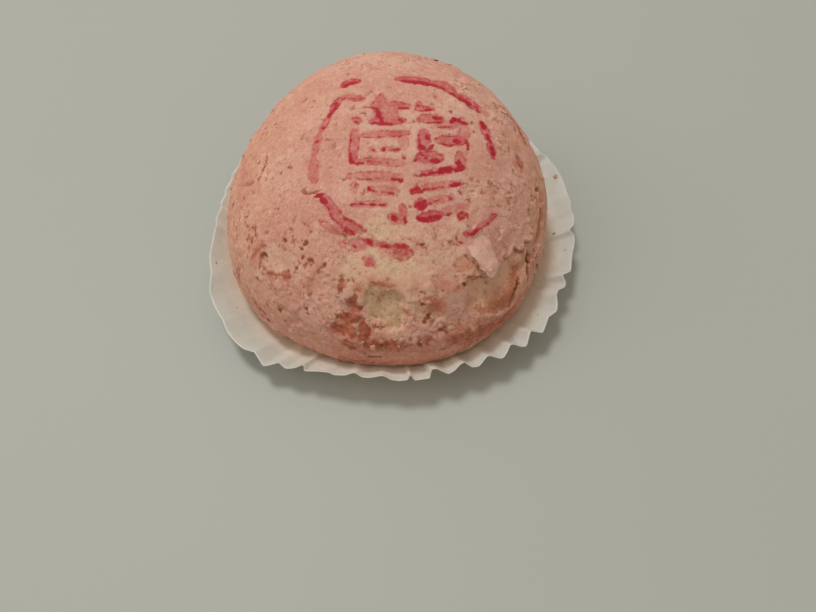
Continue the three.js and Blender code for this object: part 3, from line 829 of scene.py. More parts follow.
# Dye dries darkest just inside the edge of a stroke
dried_edge = bell(gap, -0.2, 0.24) * ramp(rough(base, 3.4, 3, 83.0), -0.45, 0.25)
pool = drawn(DARK_LEFT, **DARK_PRINT, slim=0.82)
pool = np.maximum(pool, drawn(DARK_RIGHT + DARK_RING, **DARK_PRINT, slim=1.05))
pool = np.maximum(pool * (0.78 + 0.4 * patchy), 0.7 * dried_edge * ramp(film, 0.1, 0.6))
specks = drawn(CROWN_SPOTS, on_crown, 0.3, 0.5, 73.0, STAMP_MIDDLE, slim=0.8, grain=0.8)
specks *= SPECK_STRENGTH
rise -= SPECK_DEPTH * specks
dark_marks_and_shade = np.maximum(dark_marks_and_shade, specks)
whole_skin = 1 - np.maximum.reduce([bare, crumb_zone, peach]).clip(0, 1)
whole_skin *= 1 - 0.35 * ramp(cream, 0.3, 0.8)
ink *= (0.25 + 0.75 * whole_skin) * (1 - 0.7 * ramp(leaf_edge, 0.3, 0.9))
pool *= 0.3 + 0.7 * whole_skin
rise -= DYE_DENT * ink
print("share of the crust under dye:", (ink > 0.3).mean().round(3))

# %% [markdown]
# ## Toasted and dyed stains, and some painted shade
# Low on the front and round the hollow the crust is stained red-brown: dye and lard that ran and
# baked darker. Most stains have a known place, so they are drawn as broad, very ragged strokes.
# Faint streaks and a rusty belt of noise join them low down, where the crust touched the hot tray.
# A few stain and rust strokes are painted shade: above the ledge under the bare shoulder, and in
# part low on the right.

# %% Places of the stains and of some painted shade
STAIN_AND_SHADE_MARKS = [  # width, strength, then azimuth and height of each place
    # the first stroke, low on the right, is partly stain and partly painted shade
    (5, 0.6, -68, 13, -55, 11, -42, 10), (4, 0.15, -104, 14, -96, 13, -84, 13), (2.2, 1, -129, 23),
    (1.3, 0.4, -122.5, 24.5, -122, 22, -120, 21), (1.6, 0.4, -150.5, 25.3, -148, 24.4),
    (1.2, 0.6, -143, 25, -141.5, 25.5), (1.2, 0.6, -144, 22.5, -143.5, 24.5),
    (1.4, 0.7, -137, 21.5, -134, 21.8, -131, 22.8), (1, 0.6, -135.5, 20.5, -133.5, 21),
    (1.4, 0.8, -149, 17, -148, 13), (2.4, 1, -101.5, 23, -102.5, 22, -102, 20.5),
    (2.6, 1, -104.5, 19.8, -103, 19.3, -101, 19.3, -98.5, 19.8), (2.8, 0.7, -100, 20.8, -98.5, 20.2),
    (1.2, 0.9, -107, 26.3, -107, 24.8, -107.4, 23.4), (1.6, 0.45, -110, 25.8),
    (3.4, 0.8, -107.5, 17, -102.5, 17.2), (3, 0.95, -97.5, 18.2, -96.5, 15),
    (3, 0.8, -101.5, 17.5, -99.5, 16), (3, 0.85, -91, 14.6, -87, 14.2),
    (2.4, 1, -97, 14.5, -93, 14, -90, 14), (2.8, 0.75, -104, 13.8, -100, 13.2), (1, 0.9, -101.5, 12),
    (2.6, 0.75, -86, 13.8, -83, 13.6), (1.7, 0.9, -77, 13.8, -74.5, 15.2), (1.6, 0.45, -81, 20, -79, 19.3),
    # the last stroke here paints the shade above the ledge, not a stain
    (2.4, 0.5, -67, 12, -61, 8), (1.6, 0.45, -57, 14, -52, 14), (2.2, 0.8, -50, 16, -46, 15.5, -43, 15.5),
    (2, 0.4, -72, 21, -72, 23), (0.9, 0.5, -104, 6.7, -95, 6.7, -85.5, 7), (2.2, 0.45, -30, 17.4, -22, 8),
    (0.9, 0.8, -18, 8.3, -23.5, 10.5), (1.2, 0.45, -102, 24.2, -99, 24.7), (3, 0.5, 52, 13, 66, 12),
    (4, 0.5, 124, 10, 134, 10), (4, 0.4, 172, 12, 179, 12), (3, 0.35, 92, 20, 98, 20),
    (3, 0.4, 12, 15, 18, 15),
]
PALE_MARKS = [
    (2.4, 0.8, -105.8, 25, -105.8, 22.6), (1.6, 0.8, -60, 28.7, -55, 28.8), (0.9, 0.9, -101, 16.8),
    (0.8, 0.6, -98, 10.5), (1.6, 0.7, -92.5, 11.3, -91, 12), (1.2, 0.8, -81, 14.8),
    (1.6, 0.6, -57, 24.6, -54, 23.6, -51, 23.4), (2.6, 0.5, -147, 21.5, -145.5, 19.5),
    (1.1, 0.5, -75.5, 23.7, -70, 23.3, -68, 22.3), (1.8, 0.5, -61.5, 22.6, -62, 20), (0.9, 0.7, -72.5, 12),
    (0.9, 0.5, -51, 13, -49, 12.3), (0.9, 0.7, -33, 12.2, -30.5, 9.4), (1.6, 0.6, -24, 22.6, -24.5, 21),
]
CREAM_MARKS = [
    (3, 0.75, -140, 24.6, -138, 23.6), (2.6, 0.35, -139, 24.8, -136, 23.8, -131, 24),
    (1.9, 0.3, -139, 25.6, -135, 26.1), (2.6, 0.4, -87, 19, -83, 18.6),
]
TAN_MARKS = [
    (5, 0.5, -83, 23, -80.5, 22.4, -77.5, 21.4), (3, 0.5, -102, 24.8, -98, 24.9, -95, 25.6),
    (4, 0.35, -76, 24, -71, 23.6), (3, 0.35, -120, 24.5, -119, 22.5), (2.6, 0.7, -84, 22.6, -80.5, 22.8),
    (2, 0.6, -94, 25.7, -90, 24.9, -86, 24.8), (2.2, 0.4, -100, 18, -96, 18.8),
    (2.4, 0.5, -94, 17.4, -88, 17, -83, 17), (2.4, 0.5, -135.5, 25.6, -135, 24.6),
]
GOLDEN_MARKS = [  # in plan from the stamp's middle, and so are the next
    (5, 0.6, -35, 7, -33, 2), (3, 0.6, -27, 19, -24, 23), (3, 0.9, 25, 8.5), (4, 0.5, 31, 2, 31, -6),
    (4, 0.4, -3, 23),
]
TOASTED_SPOTS = [(1.8, 0.7, 25.5, 5, 26.5, 2.5)]
SHADED_MARKS = [  # painted shade above the ledge, by azimuth and height again
    (3, 1, -57, 17, -52, 16, -48, 15.5, -44, 16, -40, 18, -37, 20),
]
RUST_AND_SHADE_MARKS = [
    (4.6, 0.9, -73, 22.5, -71, 20.8), (3.4, 0.7, -109, 16.3, -104, 15.8),
    (5, 0.7, -103, 14, -98, 13.5, -90, 13, -85, 13), (5, 0.6, -84, 12.4, -76, 12, -68, 13.2),
    (2, 0.9, -95, 25.8, -90.5, 24.9, -86, 24.8), (6, 0.9, -68, 14, -61, 13, -53, 11.5),
    # the last stroke here paints the shade above the ledge, not rust
    (6, 0.8, -60, 9.5, -45, 9, -32, 10), (3.4, 0.7, -52, 17, -47, 16, -43, 16.4),
    (4, 0.25, -41, 17, -37, 19.5, -34, 20), (2.6, 0.9, -5, 22.7, -12, 21.2, -20, 19.5),
    (3.4, 0.4, -122, 14, -112, 12), (6, 0.35, -178, 28, -165, 27), (3.4, 0.6, 6, 32.3),
    (2, 0.9, -2.5, 31.2), (2.4, 0.5, -120, 25, -119, 23),
    (1.3, 0.7, -70, 25.2, -67, 25, -65, 24.1, -62, 23.3), (1.6, 0.7, 24, 31.4, 18, 30.9, 12, 30.2),
    (2.6, 0.5, -144, 25, -144, 22), (2.4, 0.6, -100.5, 24.9, -98.5, 24.7),
]
print("stains:", len(STAIN_AND_SHADE_MARKS), "rusty places:", len(RUST_AND_SHADE_MARKS), "pale marks:", len(PALE_MARKS))

# %% Stain the crust and paint some shade
STAIN_AND_SHADE_DEPTH = 0.1
PALE_HEIGHT = 0.08
toast_and_shade = drawn(STAIN_AND_SHADE_MARKS, on_flank, 0.8, 0.7, 33.0, grain=1.8)
rise -= STAIN_AND_SHADE_DEPTH * ramp(toast_and_shade, 0.2, 0.7)
paled = drawn(PALE_MARKS, on_flank, 0.5, 0.6, 43.0, grain=1.0)
rise += PALE_HEIGHT * paled
cream = np.maximum(cream, drawn(CREAM_MARKS, on_flank, 0.6, 0.4, 47.0))
bare = np.maximum(bare, drawn(TAN_MARKS, on_flank, 1.0, 0.8, 49.0))
bare = np.maximum(bare, drawn(GOLDEN_MARKS, on_crown, 1.0, 0.6, 58.0, STAMP_MIDDLE))
toast_and_shade = np.maximum(toast_and_shade, drawn(TOASTED_SPOTS, on_crown, 0.5, 0.5, 59.0, STAMP_MIDDLE))
low_down = ramp(heights, 20, 8)
streaks = ramp(rough(base * np.array([1, 1, 2.2]), 5.5, 4, 51.0), 0.35, 0.9)
toast_and_shade = np.maximum(toast_and_shade, 0.32 * low_down * streaks * (0.5 + 0.5 * front_belt))
rust_and_shade = 0.45 * ramp(heights, 19, 7) * ramp(np.abs(azimuths + 66), 75, 30)
rust_and_shade *= 0.6 + 0.4 * ramp(lumps(base, 9, 63.0), -0.5, 0.5)
rust_and_shade = np.maximum(rust_and_shade, drawn(RUST_AND_SHADE_MARKS, on_flank, 1.2, 0.9, 53.0))
toast_and_shade *= 1 - crumb_zone * (1 - pocket)
print("share of the crust that is stained:", (toast_and_shade > 0.3).mean().round(3))

# %% Dark gaps, painted shade, pale edges and warm skin
# dark marks of the crust, together with shade painted where the crust lies in shade
dark_marks_and_shade = np.maximum.reduce([
    dark_marks_and_shade,
    # painted shade above the ledge
    0.5 * drawn(SHADED_MARKS, on_flank, 1.5, 0.6, 57.0),
    0.3 * upper_rim * ramp(ragged(35.0), -0.4, 0.4),
    # painted shadow at the foot of the skin's edge over the bare shoulder
    0.6 * bell(bare_shoulder, 0.25, 0.35) * crisp,
    # painted shadow under the leaves' edges
    0.35 * painted_edge_shadow,
    # painted shade in the gaps between the crumbs of the hollow
    0.25 * crumb_zone * ramp(crumb_bumps, 0.0, -0.4),
])
lifted = np.maximum.reduce([
    0.8 * leaf_edge,
    0.9 * ledge,
    0.8 * bell(bare_shoulder, -0.5, 0.45) * crisp,
    0.5 * bell(shelf_only, -0.4, 0.4),
    0.4 * pale_patch,
    paled,
])
TO_THE_LEFT = np.array([-0.8, 0.1, 0.15])  # the skin is warmer the further a point lies this way
warm = ramp(base @ TO_THE_LEFT + 6 * lumps(base, 9, 61.0), 8, 34)
print("share of the crust that is lifted:", (lifted > 0.4).mean().round(3))

# %% [markdown]
# ## The crust as a mesh
# Now all moves are added and the points become a mesh. The masks go in as attributes: one number
# at each point, which the material reads. An attribute suits marks with a fixed place better than
# a shader noise does, and it travels with the mesh.


# %% Make the crust
def closing_fan(points, ring):
    """Quads and triangles that close the underside, flat inside the foot."""
    inner = points[ring] * np.array([0.45, 0.45, 1.0])
    first = len(points)
    here = np.arange(len(ring))
    ahead = np.roll(here, -1)
    middle = np.full(len(ring), first + len(ring))
    walls = np.stack([ring, first + here, first + ahead, ring[ahead]], axis=1)
    fan = np.stack([first + here, middle, first + ahead], axis=1)
    return np.concatenate([points, inner, inner.mean(0)[None]]), walls, fan


def whole_numbers(faces):
    """Faces as plain lists of whole numbers, as Blender wants them."""
    return [list(map(int, face)) for face in faces]


def mesh_piece(name, points, faces, masks=None):
    """A smooth-shaded mesh object from points in millimetres."""
    data = bpy.data.meshes.new(name)
    data.from_pydata((np.asarray(points) * MM).tolist(), [], whole_numbers(faces))
    data.shade_smooth()
    for mask, values in (masks or {}).items():
        layer = data.attributes.new(mask, "FLOAT", "POINT")
        layer.data.foreach_set("value", np.asarray(values, np.float32))
    data.validate()
    piece = bpy.data.objects.new(name, data)
    bpy.context.scene.collection.objects.link(piece)
    return piece


steady_foot = ramp(heights, 0.8, 3.5)  # the foot keeps its shape, because it rests in the case
baked = base + facing * (rise * steady_foot)[:, None]
all_points, walls, fan = closing_fan(baked, foot_ring)
corner, next_corner, far_corner = all_points[walls[0, :3]]
if np.cross(next_corner - corner, far_corner - corner)[2] > 0:
    walls, fan = walls[:, ::-1], fan[:, ::-1]
padding = len(all_points) - len(base)
masks = {
    "ink": ink, "pool": pool, "bare": bare, "peach": peach, "cream": cream, "toast_and_shade": toast_and_shade, "dark_marks_and_shade": dark_marks_and_shade,
    "pit": pit, "lifted": lifted, "warm": warm, "flaky": flaky, "rust_and_shade": rust_and_shade, "butter": butter,
}
masks = {name: np.concatenate([values, np.zeros(padding)]) for name, values in masks.items()}
crust = mesh_piece("baked_crust", all_points, [*quads, *walls, *fan], masks)
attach(crust, "root")
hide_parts("pastry")
print("triangles of the crust:", 2 * (len(quads) + len(walls)) + len(fan))

# %% [markdown]
# ## Loose flakes
# Some of the skin has come right off the surface and stands up as flakes, which the net alone can't
# show. The biggest is a curled tongue on the right that hangs over the bare shoulder. It is made as
# a sheet that follows the crust at a rising height, with ragged sides and real thickness. The small
# ones are thin scales with random outlines. One side of each touches the crust, and the other is
# lifted, mostly the lower one, because the skin peels from its edge.


# %% A curled tongue
def closed_sheet(top, bottom):
    """Points and quads of a thin sheet with an upper and a lower grid of points and a rim."""
    steps, across = top.shape[:2]
    number = np.arange(steps * across).reshape(steps, across)
    face = grid_quads(number)
    edge = np.concatenate([number[:-1, 0], number[-1, :-1], number[:0:-1, -1], number[0, :0:-1]])
    rim = np.stack([edge, edge + number.size, np.roll(edge, -1) + number.size, np.roll(edge, -1)], axis=1)
    points = np.concatenate([top.reshape(-1, 3), bottom.reshape(-1, 3)])
    return points, np.concatenate([face[:, ::-1], face + number.size, rim])


def tongue(line, half_widths, lifts, thick, ragged_by, shift, steps=44, across=24):
    """A flake that grows out of the skin and lies over the crust along a line of places in plan."""
    knots = np.linspace(0, 1, len(line))
    share = np.linspace(0, 1, steps)
    known = (*np.transpose(line), half_widths, lifts)
    x, y, half, lift = (np.interp(share, knots, values) for values in known)
    ahead = np.stack([np.gradient(x), np.gradient(y)], axis=1)
    side = np.stack([-ahead[:, 1], ahead[:, 0]], axis=1) / np.linalg.norm(ahead, axis=1, keepdims=True)
    half *= np.sqrt(np.clip(1 - ((share - 0.9) / 0.11).clip(0) ** 2, 0.1, 1))
    top = np.zeros((steps, across, 3))
    bottom = np.zeros((steps, across, 3))
    for step in range(steps):
        for place, s in enumerate(np.linspace(-1, 1, across)):
            edge = rough(np.array([[9 * share[step], 6 * np.sign(s), shift]]), 1.6, 3)[0]
            plan = np.array([x[step], y[step]]) + side[step] * s * half[step] * (1 + ragged_by * edge)
            seat = on_crown(*plan)
            _, near, _ = tree.find(seat)
            wave = rise[near] + 0.12 * lumps(seat[None], 1.8, shift)[0]
            up = lift[step] * (0.75 - 0.45 * s) + wave  # the left side stands higher
            top[step, place] = seat + facing[near] * up
            bottom[step, place] = seat + facing[near] * (up - thick * (1 - 0.6 * abs(s) ** 4))
    return closed_sheet(top, bottom)


TONGUE_LINE = [(17.5, -20), (18.5, -21), (20, -22.5), (21.5, -24), (22.5, -25), (23, -26)]
TONGUE_HALF_WIDTHS = (1.5, 2.4, 2.6, 2.4, 2.2, 1.9)
TONGUE_LIFTS = (-0.6, -0.2, 0.3, 0.8, 1.3, 1.6)  # heights over the crust
biggest = tongue(TONGUE_LINE, TONGUE_HALF_WIDTHS, TONGUE_LIFTS, thick=0.42, ragged_by=0.16, shift=3.0)
loose = [biggest]
print("points of the biggest flake:", len(biggest[0]))


# %% Small scales
SCALE_SIDES = 10
SCALE_SECTION = ((1, 0.0), (0.5, 0.02), (0.5, -0.1), (1, -0.07))  # share of the outline, and its height


def scale(number, size, tilt, turn):
    """One thin scale with a random outline, seated on a point of the net."""
    normal = facing[number]
    down = np.cross(np.cross(normal, [0.0, 0.0, -1.0]), normal) + 1e-6
    down /= np.linalg.norm(down)
    side = np.cross(normal, down)
    fore = math.cos(turn) * down + math.sin(turn) * side
    side = np.cross(normal, fore)
    angles = np.arange(SCALE_SIDES) * 2 * math.pi / SCALE_SIDES
    reach = size * (0.75 + 0.5 * chance.random(SCALE_SIDES))
    along, over = reach * np.cos(angles), 0.65 * reach * np.sin(angles)
    lift = 0.02 + math.tan(tilt) * (along + size) + 0.06 * size * chance.random(SCALE_SIDES)
    rings = []
    for inset, thick in SCALE_SECTION:
        ring = np.outer(along * inset, fore) + np.outer(over * inset, side)
        raised = lift * inset + (1 - inset) * lift.mean() + thick
        rings.append(baked[number] + ring + np.outer(raised, normal))
    points = np.concatenate([*rings, rings[1].mean(0)[None], rings[2].mean(0)[None]])
    edge, above, below, low_edge = (np.arange(SCALE_SIDES) + SCALE_SIDES * row for row in range(4))
    walls = []
    for first, second in ((edge, above), (below, low_edge), (low_edge, edge)):
        walls += [*np.stack([first, np.roll(first, -1), np.roll(second, -1), second], axis=1)]
    top_middle, low_middle = 4 * SCALE_SIDES, 4 * SCALE_SIDES + 1
    fans = [(top_middle, a, b) for a, b in zip(above, np.roll(above, -1))]
    fans += [(low_middle, b, a) for a, b in zip(below, np.roll(below, -1))]
    return points, [*walls, *fans]


def pick(chosen, count):
    """Random points of the net among the chosen ones."""
    return chance.choice(np.flatnonzero(chosen), count, replace=False)


def within(values, low, high):
    """Whether each value lies between two limits."""
    return (values > low) & (values < high)


on_leaf = (leaf_edge > 0.5) & (heights > 5)
shoulder_rim = within(bare_shoulder, -0.6, 0.0) & within(azimuths, -45, -20)
SCALES = [  # where, how many, size in millimetres, tilt in degrees
    ((front_belt > 0.6) & on_leaf & (heights < 20), 12, (0.4, 0.9), 7),
    (within(left_patch, -0.4, 0.4), 3, (0.4, 0.7), 6),
    (shoulder_rim & (heights > 20), 4, (0.4, 0.9), 8),
    (within(torn_hollow, -0.4, 0.4), 5, (0.4, 0.7), 6),
    (within(azimuths, -20, 8) & within(heights, 9, 24), 9, (0.5, 1.1), 14),
    (within(azimuths, -31, -17) & within(heights, 7, 14), 6, (0.6, 1.2), 15),
    ((np.abs(azimuths) > 150) & on_leaf, 12, (0.4, 0.9), 11),
    ((azimuths > 20) & on_leaf, 24, (0.4, 1.0), 11),
]
for where, count, (small, large), tilt in SCALES:
    for number in pick(where, count):
        size = small + (large - small) * chance.random() ** 2
        loose.append(scale(number, size, math.radians(tilt * (0.4 + chance.random())), chance.normal() * 0.7))

starts = np.cumsum([0] + [len(points) for points, _ in loose])
flake_points = np.concatenate([points for points, _ in loose])
flake_faces = [np.asarray(face) + start for start, (_, faces) in zip(starts, loose) for face in faces]
on_tongue = np.arange(len(flake_points)) < len(biggest[0])
flake_masks = {
    "lifted": np.where(on_tongue, 0.9, 0.1) + 0.25 * lumps(flake_points, 2.4, 91.0),
    "warm": np.where(on_tongue, 0.0, 0.3),
}
flakes = mesh_piece("loose_flakes", flake_points, flake_faces, flake_masks)
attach(flakes, "root")
print("flakes:", len(loose))

# %% [markdown]
# ## Nodes by hand
# Materials in Blender are graphs of nodes. Written out one by one they are long, so a small helper
# class makes the few kinds that this cake needs: noise, masks read from the mesh, ramps and mixes.
# Colours are written as they look on a display, 0 to 255, and turned into the linear light values
# that Blender works with.


# %% Node helper
def tint(red, green, blue):
    """A colour from 0 to 255 as linear light."""
    shares = [channel / 255 for channel in (red, green, blue)]
    return [s / 12.92 if s <= 0.04045 else ((s + 0.055) / 1.055) ** 2.4 for s in shares] + [1.0]


class Finish:
    """A material and short ways to add nodes to it."""

    def __init__(self, name):
        self.material = bpy.data.materials.new(name)
        self.material.use_nodes = True
        self.tree = self.material.node_tree
        self.shader = self.tree.nodes["Principled BSDF"]
        self.place = self.tree.nodes.new("ShaderNodeTexCoord").outputs["Object"]

    def add(self, kind, inputs, **settings):
        """Adds a node, sets its options, and sets or links its inputs."""
        node = self.tree.nodes.new(kind)
        for option, value in settings.items():
            setattr(node, option, value)
        for socket, value in inputs.items():
            self.set(node, socket, value)
        return node

    def set(self, node, socket, value):
        """A socket takes either a fixed value or the output of another node."""
        if isinstance(value, bpy.types.NodeSocket):
            self.tree.links.new(value, node.inputs[socket])
        else:
            node.inputs[socket].default_value = value

    def noise(self, size, detail=3.0, roughness=0.55, twist=0.0):
        """Noise from 0 to 1 in lumps of a size in millimetres."""
        inputs = {"Vector": self.place, "Scale": 1 / (size * MM)}
        inputs |= {"Detail": detail, "Roughness": roughness, "Distortion": twist}
        return self.add("ShaderNodeTexNoise", inputs).outputs["Fac"]

    def mask(self, name):
        """A mask that the mesh carries."""
        return self.add("ShaderNodeAttribute", {}, attribute_name=name).outputs["Fac"]

    def ramp(self, value, low, high, to_low=0.0, to_high=1.0):
        """Turns low..high into to_low..to_high with a soft curve."""
        inputs = {"Value": value, "From Min": low, "From Max": high, "To Min": to_low, "To Max": to_high}
        return self.add("ShaderNodeMapRange", inputs, interpolation_type="SMOOTHSTEP").outputs["Result"]

    def times(self, first, second):
        """The product of two values."""
        return self.add("ShaderNodeMath", {0: first, 1: second}, operation="MULTIPLY").outputs[0]

    def plus(self, first, second):
        """The sum of two values."""
        return self.add("ShaderNodeMath", {0: first, 1: second}, operation="ADD").outputs[0]

    def away_from(self, value, level):
        """How far a value is from a level: near 0 along a contour line of a noise."""
        apart = self.add("ShaderNodeMath", {0: value, 1: level}, operation="SUBTRACT").outputs[0]
        return self.add("ShaderNodeMath", {0: apart}, operation="ABSOLUTE").outputs[0]

    def mix(self, share, first, second):
        """From the first colour to the second as share goes from 0 to 1."""
        return self.add("ShaderNodeMix", {0: share, 6: first, 7: second}, data_type="RGBA").outputs[2]

    def cover(self, under, over, value, low, high, most=1.0):
        """One colour over another where a value goes past low, and at its fullest past high."""
        return self.mix(self.ramp(value, low, high, 0, most), under, over)

    def blotches(self, under, over, noise, low, high, most=1.0):
        """The same with a noise, given by its size, detail and, if need be, roughness and twist."""
        return self.cover(under, over, self.noise(*noise), low, high, most)

    def frayed(self, name, noise, spread):
        """A mask whose edge is frayed by a noise."""
        return self.plus(self.mask(name), self.ramp(self.noise(*noise), 0.3, 0.7, -spread, spread))

    def bump(self, height, depth, under=None):
        """Fine relief of a depth in millimetres, on top of another bump if there is one."""
        inputs = {"Height": height, "Distance": depth * MM, "Strength": 1.0}
        if under is not None:
            inputs["Normal"] = under
        return self.add("ShaderNodeBump", inputs).outputs["Normal"]

    def surface(self, **values):
        """Sets or links the shader's own sockets, named with a low line for each space."""
        for name, value in values.items():
            self.set(self.shader, name.replace("_", " "), value)


# %% [markdown]
# ## Finish of the crust
# The dough was tinted pink, and baking leaves it matt and uneven: rosy where the skin is thick,
# peach where the lard shows through, orange-pink towards the left, tan on bare dough, cream in
# the torn crumb and red-brown in the stains. Dye is a thin glaze, so it lets the skin's own mottling
# through, except in its dark pools. A little light goes through the surface, as in all pastry.
# Some shade is painted into the colour as well: under the skin's edges, above the ledge, round the loose
# tongue, between crumbs and deep in the torn hollow.

# %% Colours of the crust
SKIN_PALE = tint(212, 164, 147)
SKIN_ROSY = tint(204, 145, 130)
SKIN_DEEP = tint(194, 122, 106)
SKIN_PEACH = tint(206, 144, 114)
LIFTED_SKIN = tint(224, 184, 166)
BARE_DOUGH = tint(222, 172, 144)
BARE_DARK = tint(188, 132, 102)
PEACH_LAYER = tint(216, 149, 118)
BUTTER = tint(222, 178, 150)
CREAM_CRUMB = tint(218, 188, 158)
CREAM_ROSY = tint(212, 168, 142)
CREAM_PAINTED_SHADE = tint(202, 168, 134)
CREAM_DARK = tint(172, 130, 94)
STAIN_AND_SHADE_RED = tint(184, 98, 66)
STAIN_AND_SHADE_DARK = tint(146, 58, 36)
RUST_AND_SHADE = tint(188, 102, 76)
DYE_FILM = tint(188, 66, 76)
DYE_POOL = tint(172, 18, 42)
# the next two browns paint cracks and scorched marks, and also painted shade
BROWN_AND_SHADE_LIGHT = tint(176, 108, 78)
BROWN_AND_SHADE_DARK = tint(122, 62, 40)
PIT_BROWN = tint(140, 80, 58)


# %% Paint the crust
def skin_colour(finish, fine):
    """The whole skin: pale and rosy patches, peach to the left, dry scales and thin brown cracks."""
    colour = finish.blotches(SKIN_PALE, SKIN_ROSY, (9, 4, 0.6), 0.38, 0.62)
    colour = finish.blotches(colour, SKIN_PEACH, (4.2, 4, 0.6, 0.4), 0.52, 0.72, 0.5)
    colour = finish.mix(finish.times(finish.mask("warm"), 0.5), colour, SKIN_PEACH)
    colour = finish.blotches(colour, SKIN_DEEP, (2.1, 5, 0.65), 0.44, 0.3, 0.75)
    colour = finish.blotches(colour, LIFTED_SKIN, (1.9, 5, 0.7, 0.6), 0.53, 0.7, 0.6)
    colour = finish.cover(colour, LIFTED_SKIN, fine, 0.46, 0.3, 0.35)
    wander = finish.noise(3.4, 5, 0.62, 0.5)
    line = finish.ramp(finish.away_from(wander, 0.5), 0.026, 0.006)
    here = finish.ramp(finish.noise(2.6, 4, 0.6), 0.52, 0.62)
    here = finish.times(here, finish.mask("flaky"))
    colour = finish.mix(finish.times(finish.times(line, here), 0.75), colour, BROWN_AND_SHADE_LIGHT)
    colour = finish.blotches(colour, SKIN_DEEP, (0.55, 3, 0.65), 0.5, 0.28, 0.5)
    colour = finish.blotches(colour, LIFTED_SKIN, (0.5, 2, 0.6), 0.56, 0.72, 0.5)
    hairline = finish.ramp(finish.away_from(finish.noise(1.7, 4, 0.6, 0.4), 0.52), 0.018, 0.004)
    hairline = finish.times(hairline, finish.ramp(finish.noise(3.1, 3, 0.6), 0.5, 0.6, 0, 0.5))
    colour = finish.mix(hairline, colour, BROWN_AND_SHADE_LIGHT)
    speckle = finish.ramp(finish.noise(0.7, 3, 0.6), 0.61, 0.7)
    speckle = finish.times(speckle, finish.ramp(finish.noise(6, 2), 0.4, 0.6))
    return finish.mix(finish.times(speckle, 0.55), colour, PIT_BROWN)


def crust_finish():
    """The baked, dyed and peeled crust."""
    finish = Finish("baked_crust")
    fine = finish.noise(0.9, 4)
    colour = skin_colour(finish, fine)
    greasy = finish.frayed("butter", (2.6, 4, 0.6), 0.2)
    colour = finish.cover(colour, BUTTER, greasy, 0.1, 0.9, 0.8)
    dough = finish.blotches(BARE_DOUGH, BARE_DARK, (3.4, 5, 0.6, 0.4), 0.36, 0.66)
    dough = finish.blotches(dough, SKIN_PALE, (1.1, 4, 0.6), 0.5, 0.34, 0.4)
    colour = finish.mix(finish.times(finish.mask("bare"), 0.85), colour, dough)
    colour = finish.mix(finish.times(finish.mask("peach"), 0.85), colour, PEACH_LAYER)
    # rusty red, and in one place painted shade above the ledge
    rusty_and_shaded = finish.times(finish.mask("rust_and_shade"), finish.ramp(finish.noise(1.5, 5, 0.6), 0.3, 0.6, 0.45, 1.0))
    colour = finish.mix(rusty_and_shaded, colour, RUST_AND_SHADE)
    colour = finish.mix(finish.times(finish.mask("lifted"), 0.65), colour, LIFTED_SKIN)
    # stains, and in a few places painted shade
    stain_and_shade = finish.blotches(STAIN_AND_SHADE_RED, STAIN_AND_SHADE_DARK, (1.8, 4), 0.4, 0.58)
    stained_and_shaded = finish.frayed("toast_and_shade", (1.2, 5, 0.65), 0.35)
    colour = finish.cover(colour, stain_and_shade, stained_and_shaded, 0.06, 0.95, 0.95)
    crumb = finish.blotches(CREAM_CRUMB, CREAM_ROSY, (2.2, 4, 0.6), 0.4, 0.62, 0.8)
    # painted shade deep in the torn hollow, where the cream mask runs above 0.75
    crumb = finish.cover(crumb, CREAM_PAINTED_SHADE, finish.mask("cream"), 0.75, 0.95, 0.8)
    crumb = finish.blotches(crumb, CREAM_DARK, (0.8, 4, 0.65), 0.5, 0.66, 0.7)
    creamy = finish.frayed("cream", (1.3, 5, 0.65), 0.32)
    colour = finish.cover(colour, crumb, creamy, 0.1, 0.95, 0.95)
    film = finish.times(finish.mask("ink"), finish.ramp(finish.noise(0.8, 4, 0.65), 0.34, 0.56, 0.65, 1.15))
    colour = finish.mix(film, colour, DYE_FILM)
    pooled = finish.frayed("pool", (0.7, 4, 0.6), 0.2)
    colour = finish.cover(colour, DYE_POOL, pooled, 0.14, 0.88)
    # dark marks and painted shade: light brown first, dark brown where the mask is strong
    marks_and_shade_cover = finish.frayed("dark_marks_and_shade", (0.6, 4, 0.6), 0.2)
    colour = finish.cover(colour, BROWN_AND_SHADE_LIGHT, marks_and_shade_cover, 0.06, 0.5, 0.9)
    colour = finish.cover(colour, BROWN_AND_SHADE_DARK, marks_and_shade_cover, 0.4, 1.0, 0.95)
    colour = finish.cover(colour, PIT_BROWN, finish.mask("pit"), 0.1, 0.9, 0.85)
    dull = finish.ramp(finish.noise(2.4, 3), 0.3, 0.7, 0.62, 0.85)
    dull = finish.ramp(stained_and_shaded, 0.2, 0.9, dull, 0.36)
    relief = finish.bump(finish.noise(0.45, 4, 0.6), 0.12)
    relief = finish.bump(finish.noise(1.6, 4, 0.6), 0.12, relief)
    finish.surface(Base_Color=colour, Roughness=dull, Normal=relief, Specular_IOR_Level=0.35)
    finish.surface(Subsurface_Weight=0.22, Subsurface_Radius=(1.0, 0.45, 0.3), Subsurface_Scale=0.8 * MM)
    return finish.material


crust_material = crust_finish()
crust.data.materials.append(crust_material)
flakes.data.materials.append(crust_material)
print("nodes in the crust's finish:", len(crust_material.node_tree.nodes))

# %% [markdown]
# ## The paper case
# The case is one round of greaseproof paper, pressed over a fluted mould: flat under the pastry,
# with about fifty pleats round the wall. Each pleat has a broad side and a short one, and the paper
# has crept, so no two are alike, and they are nearly pressed flat on the left. The solid of the
# case gives the fold, the rim and the rim's height. Waves are fitted to its corners, so that the
# paper follows it all the way round, but thins out towards the rim, where its edge shows.

# %% Measure the case
case_corners = np.array([corner.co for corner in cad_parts["paper_case"].data.vertices]) / MM
case_angles = np.arctan2(case_corners[:, 1], case_corners[:, 0])
case_reach = np.hypot(case_corners[:, 0], case_corners[:, 1])
case_top = case_corners[:, 2].max()


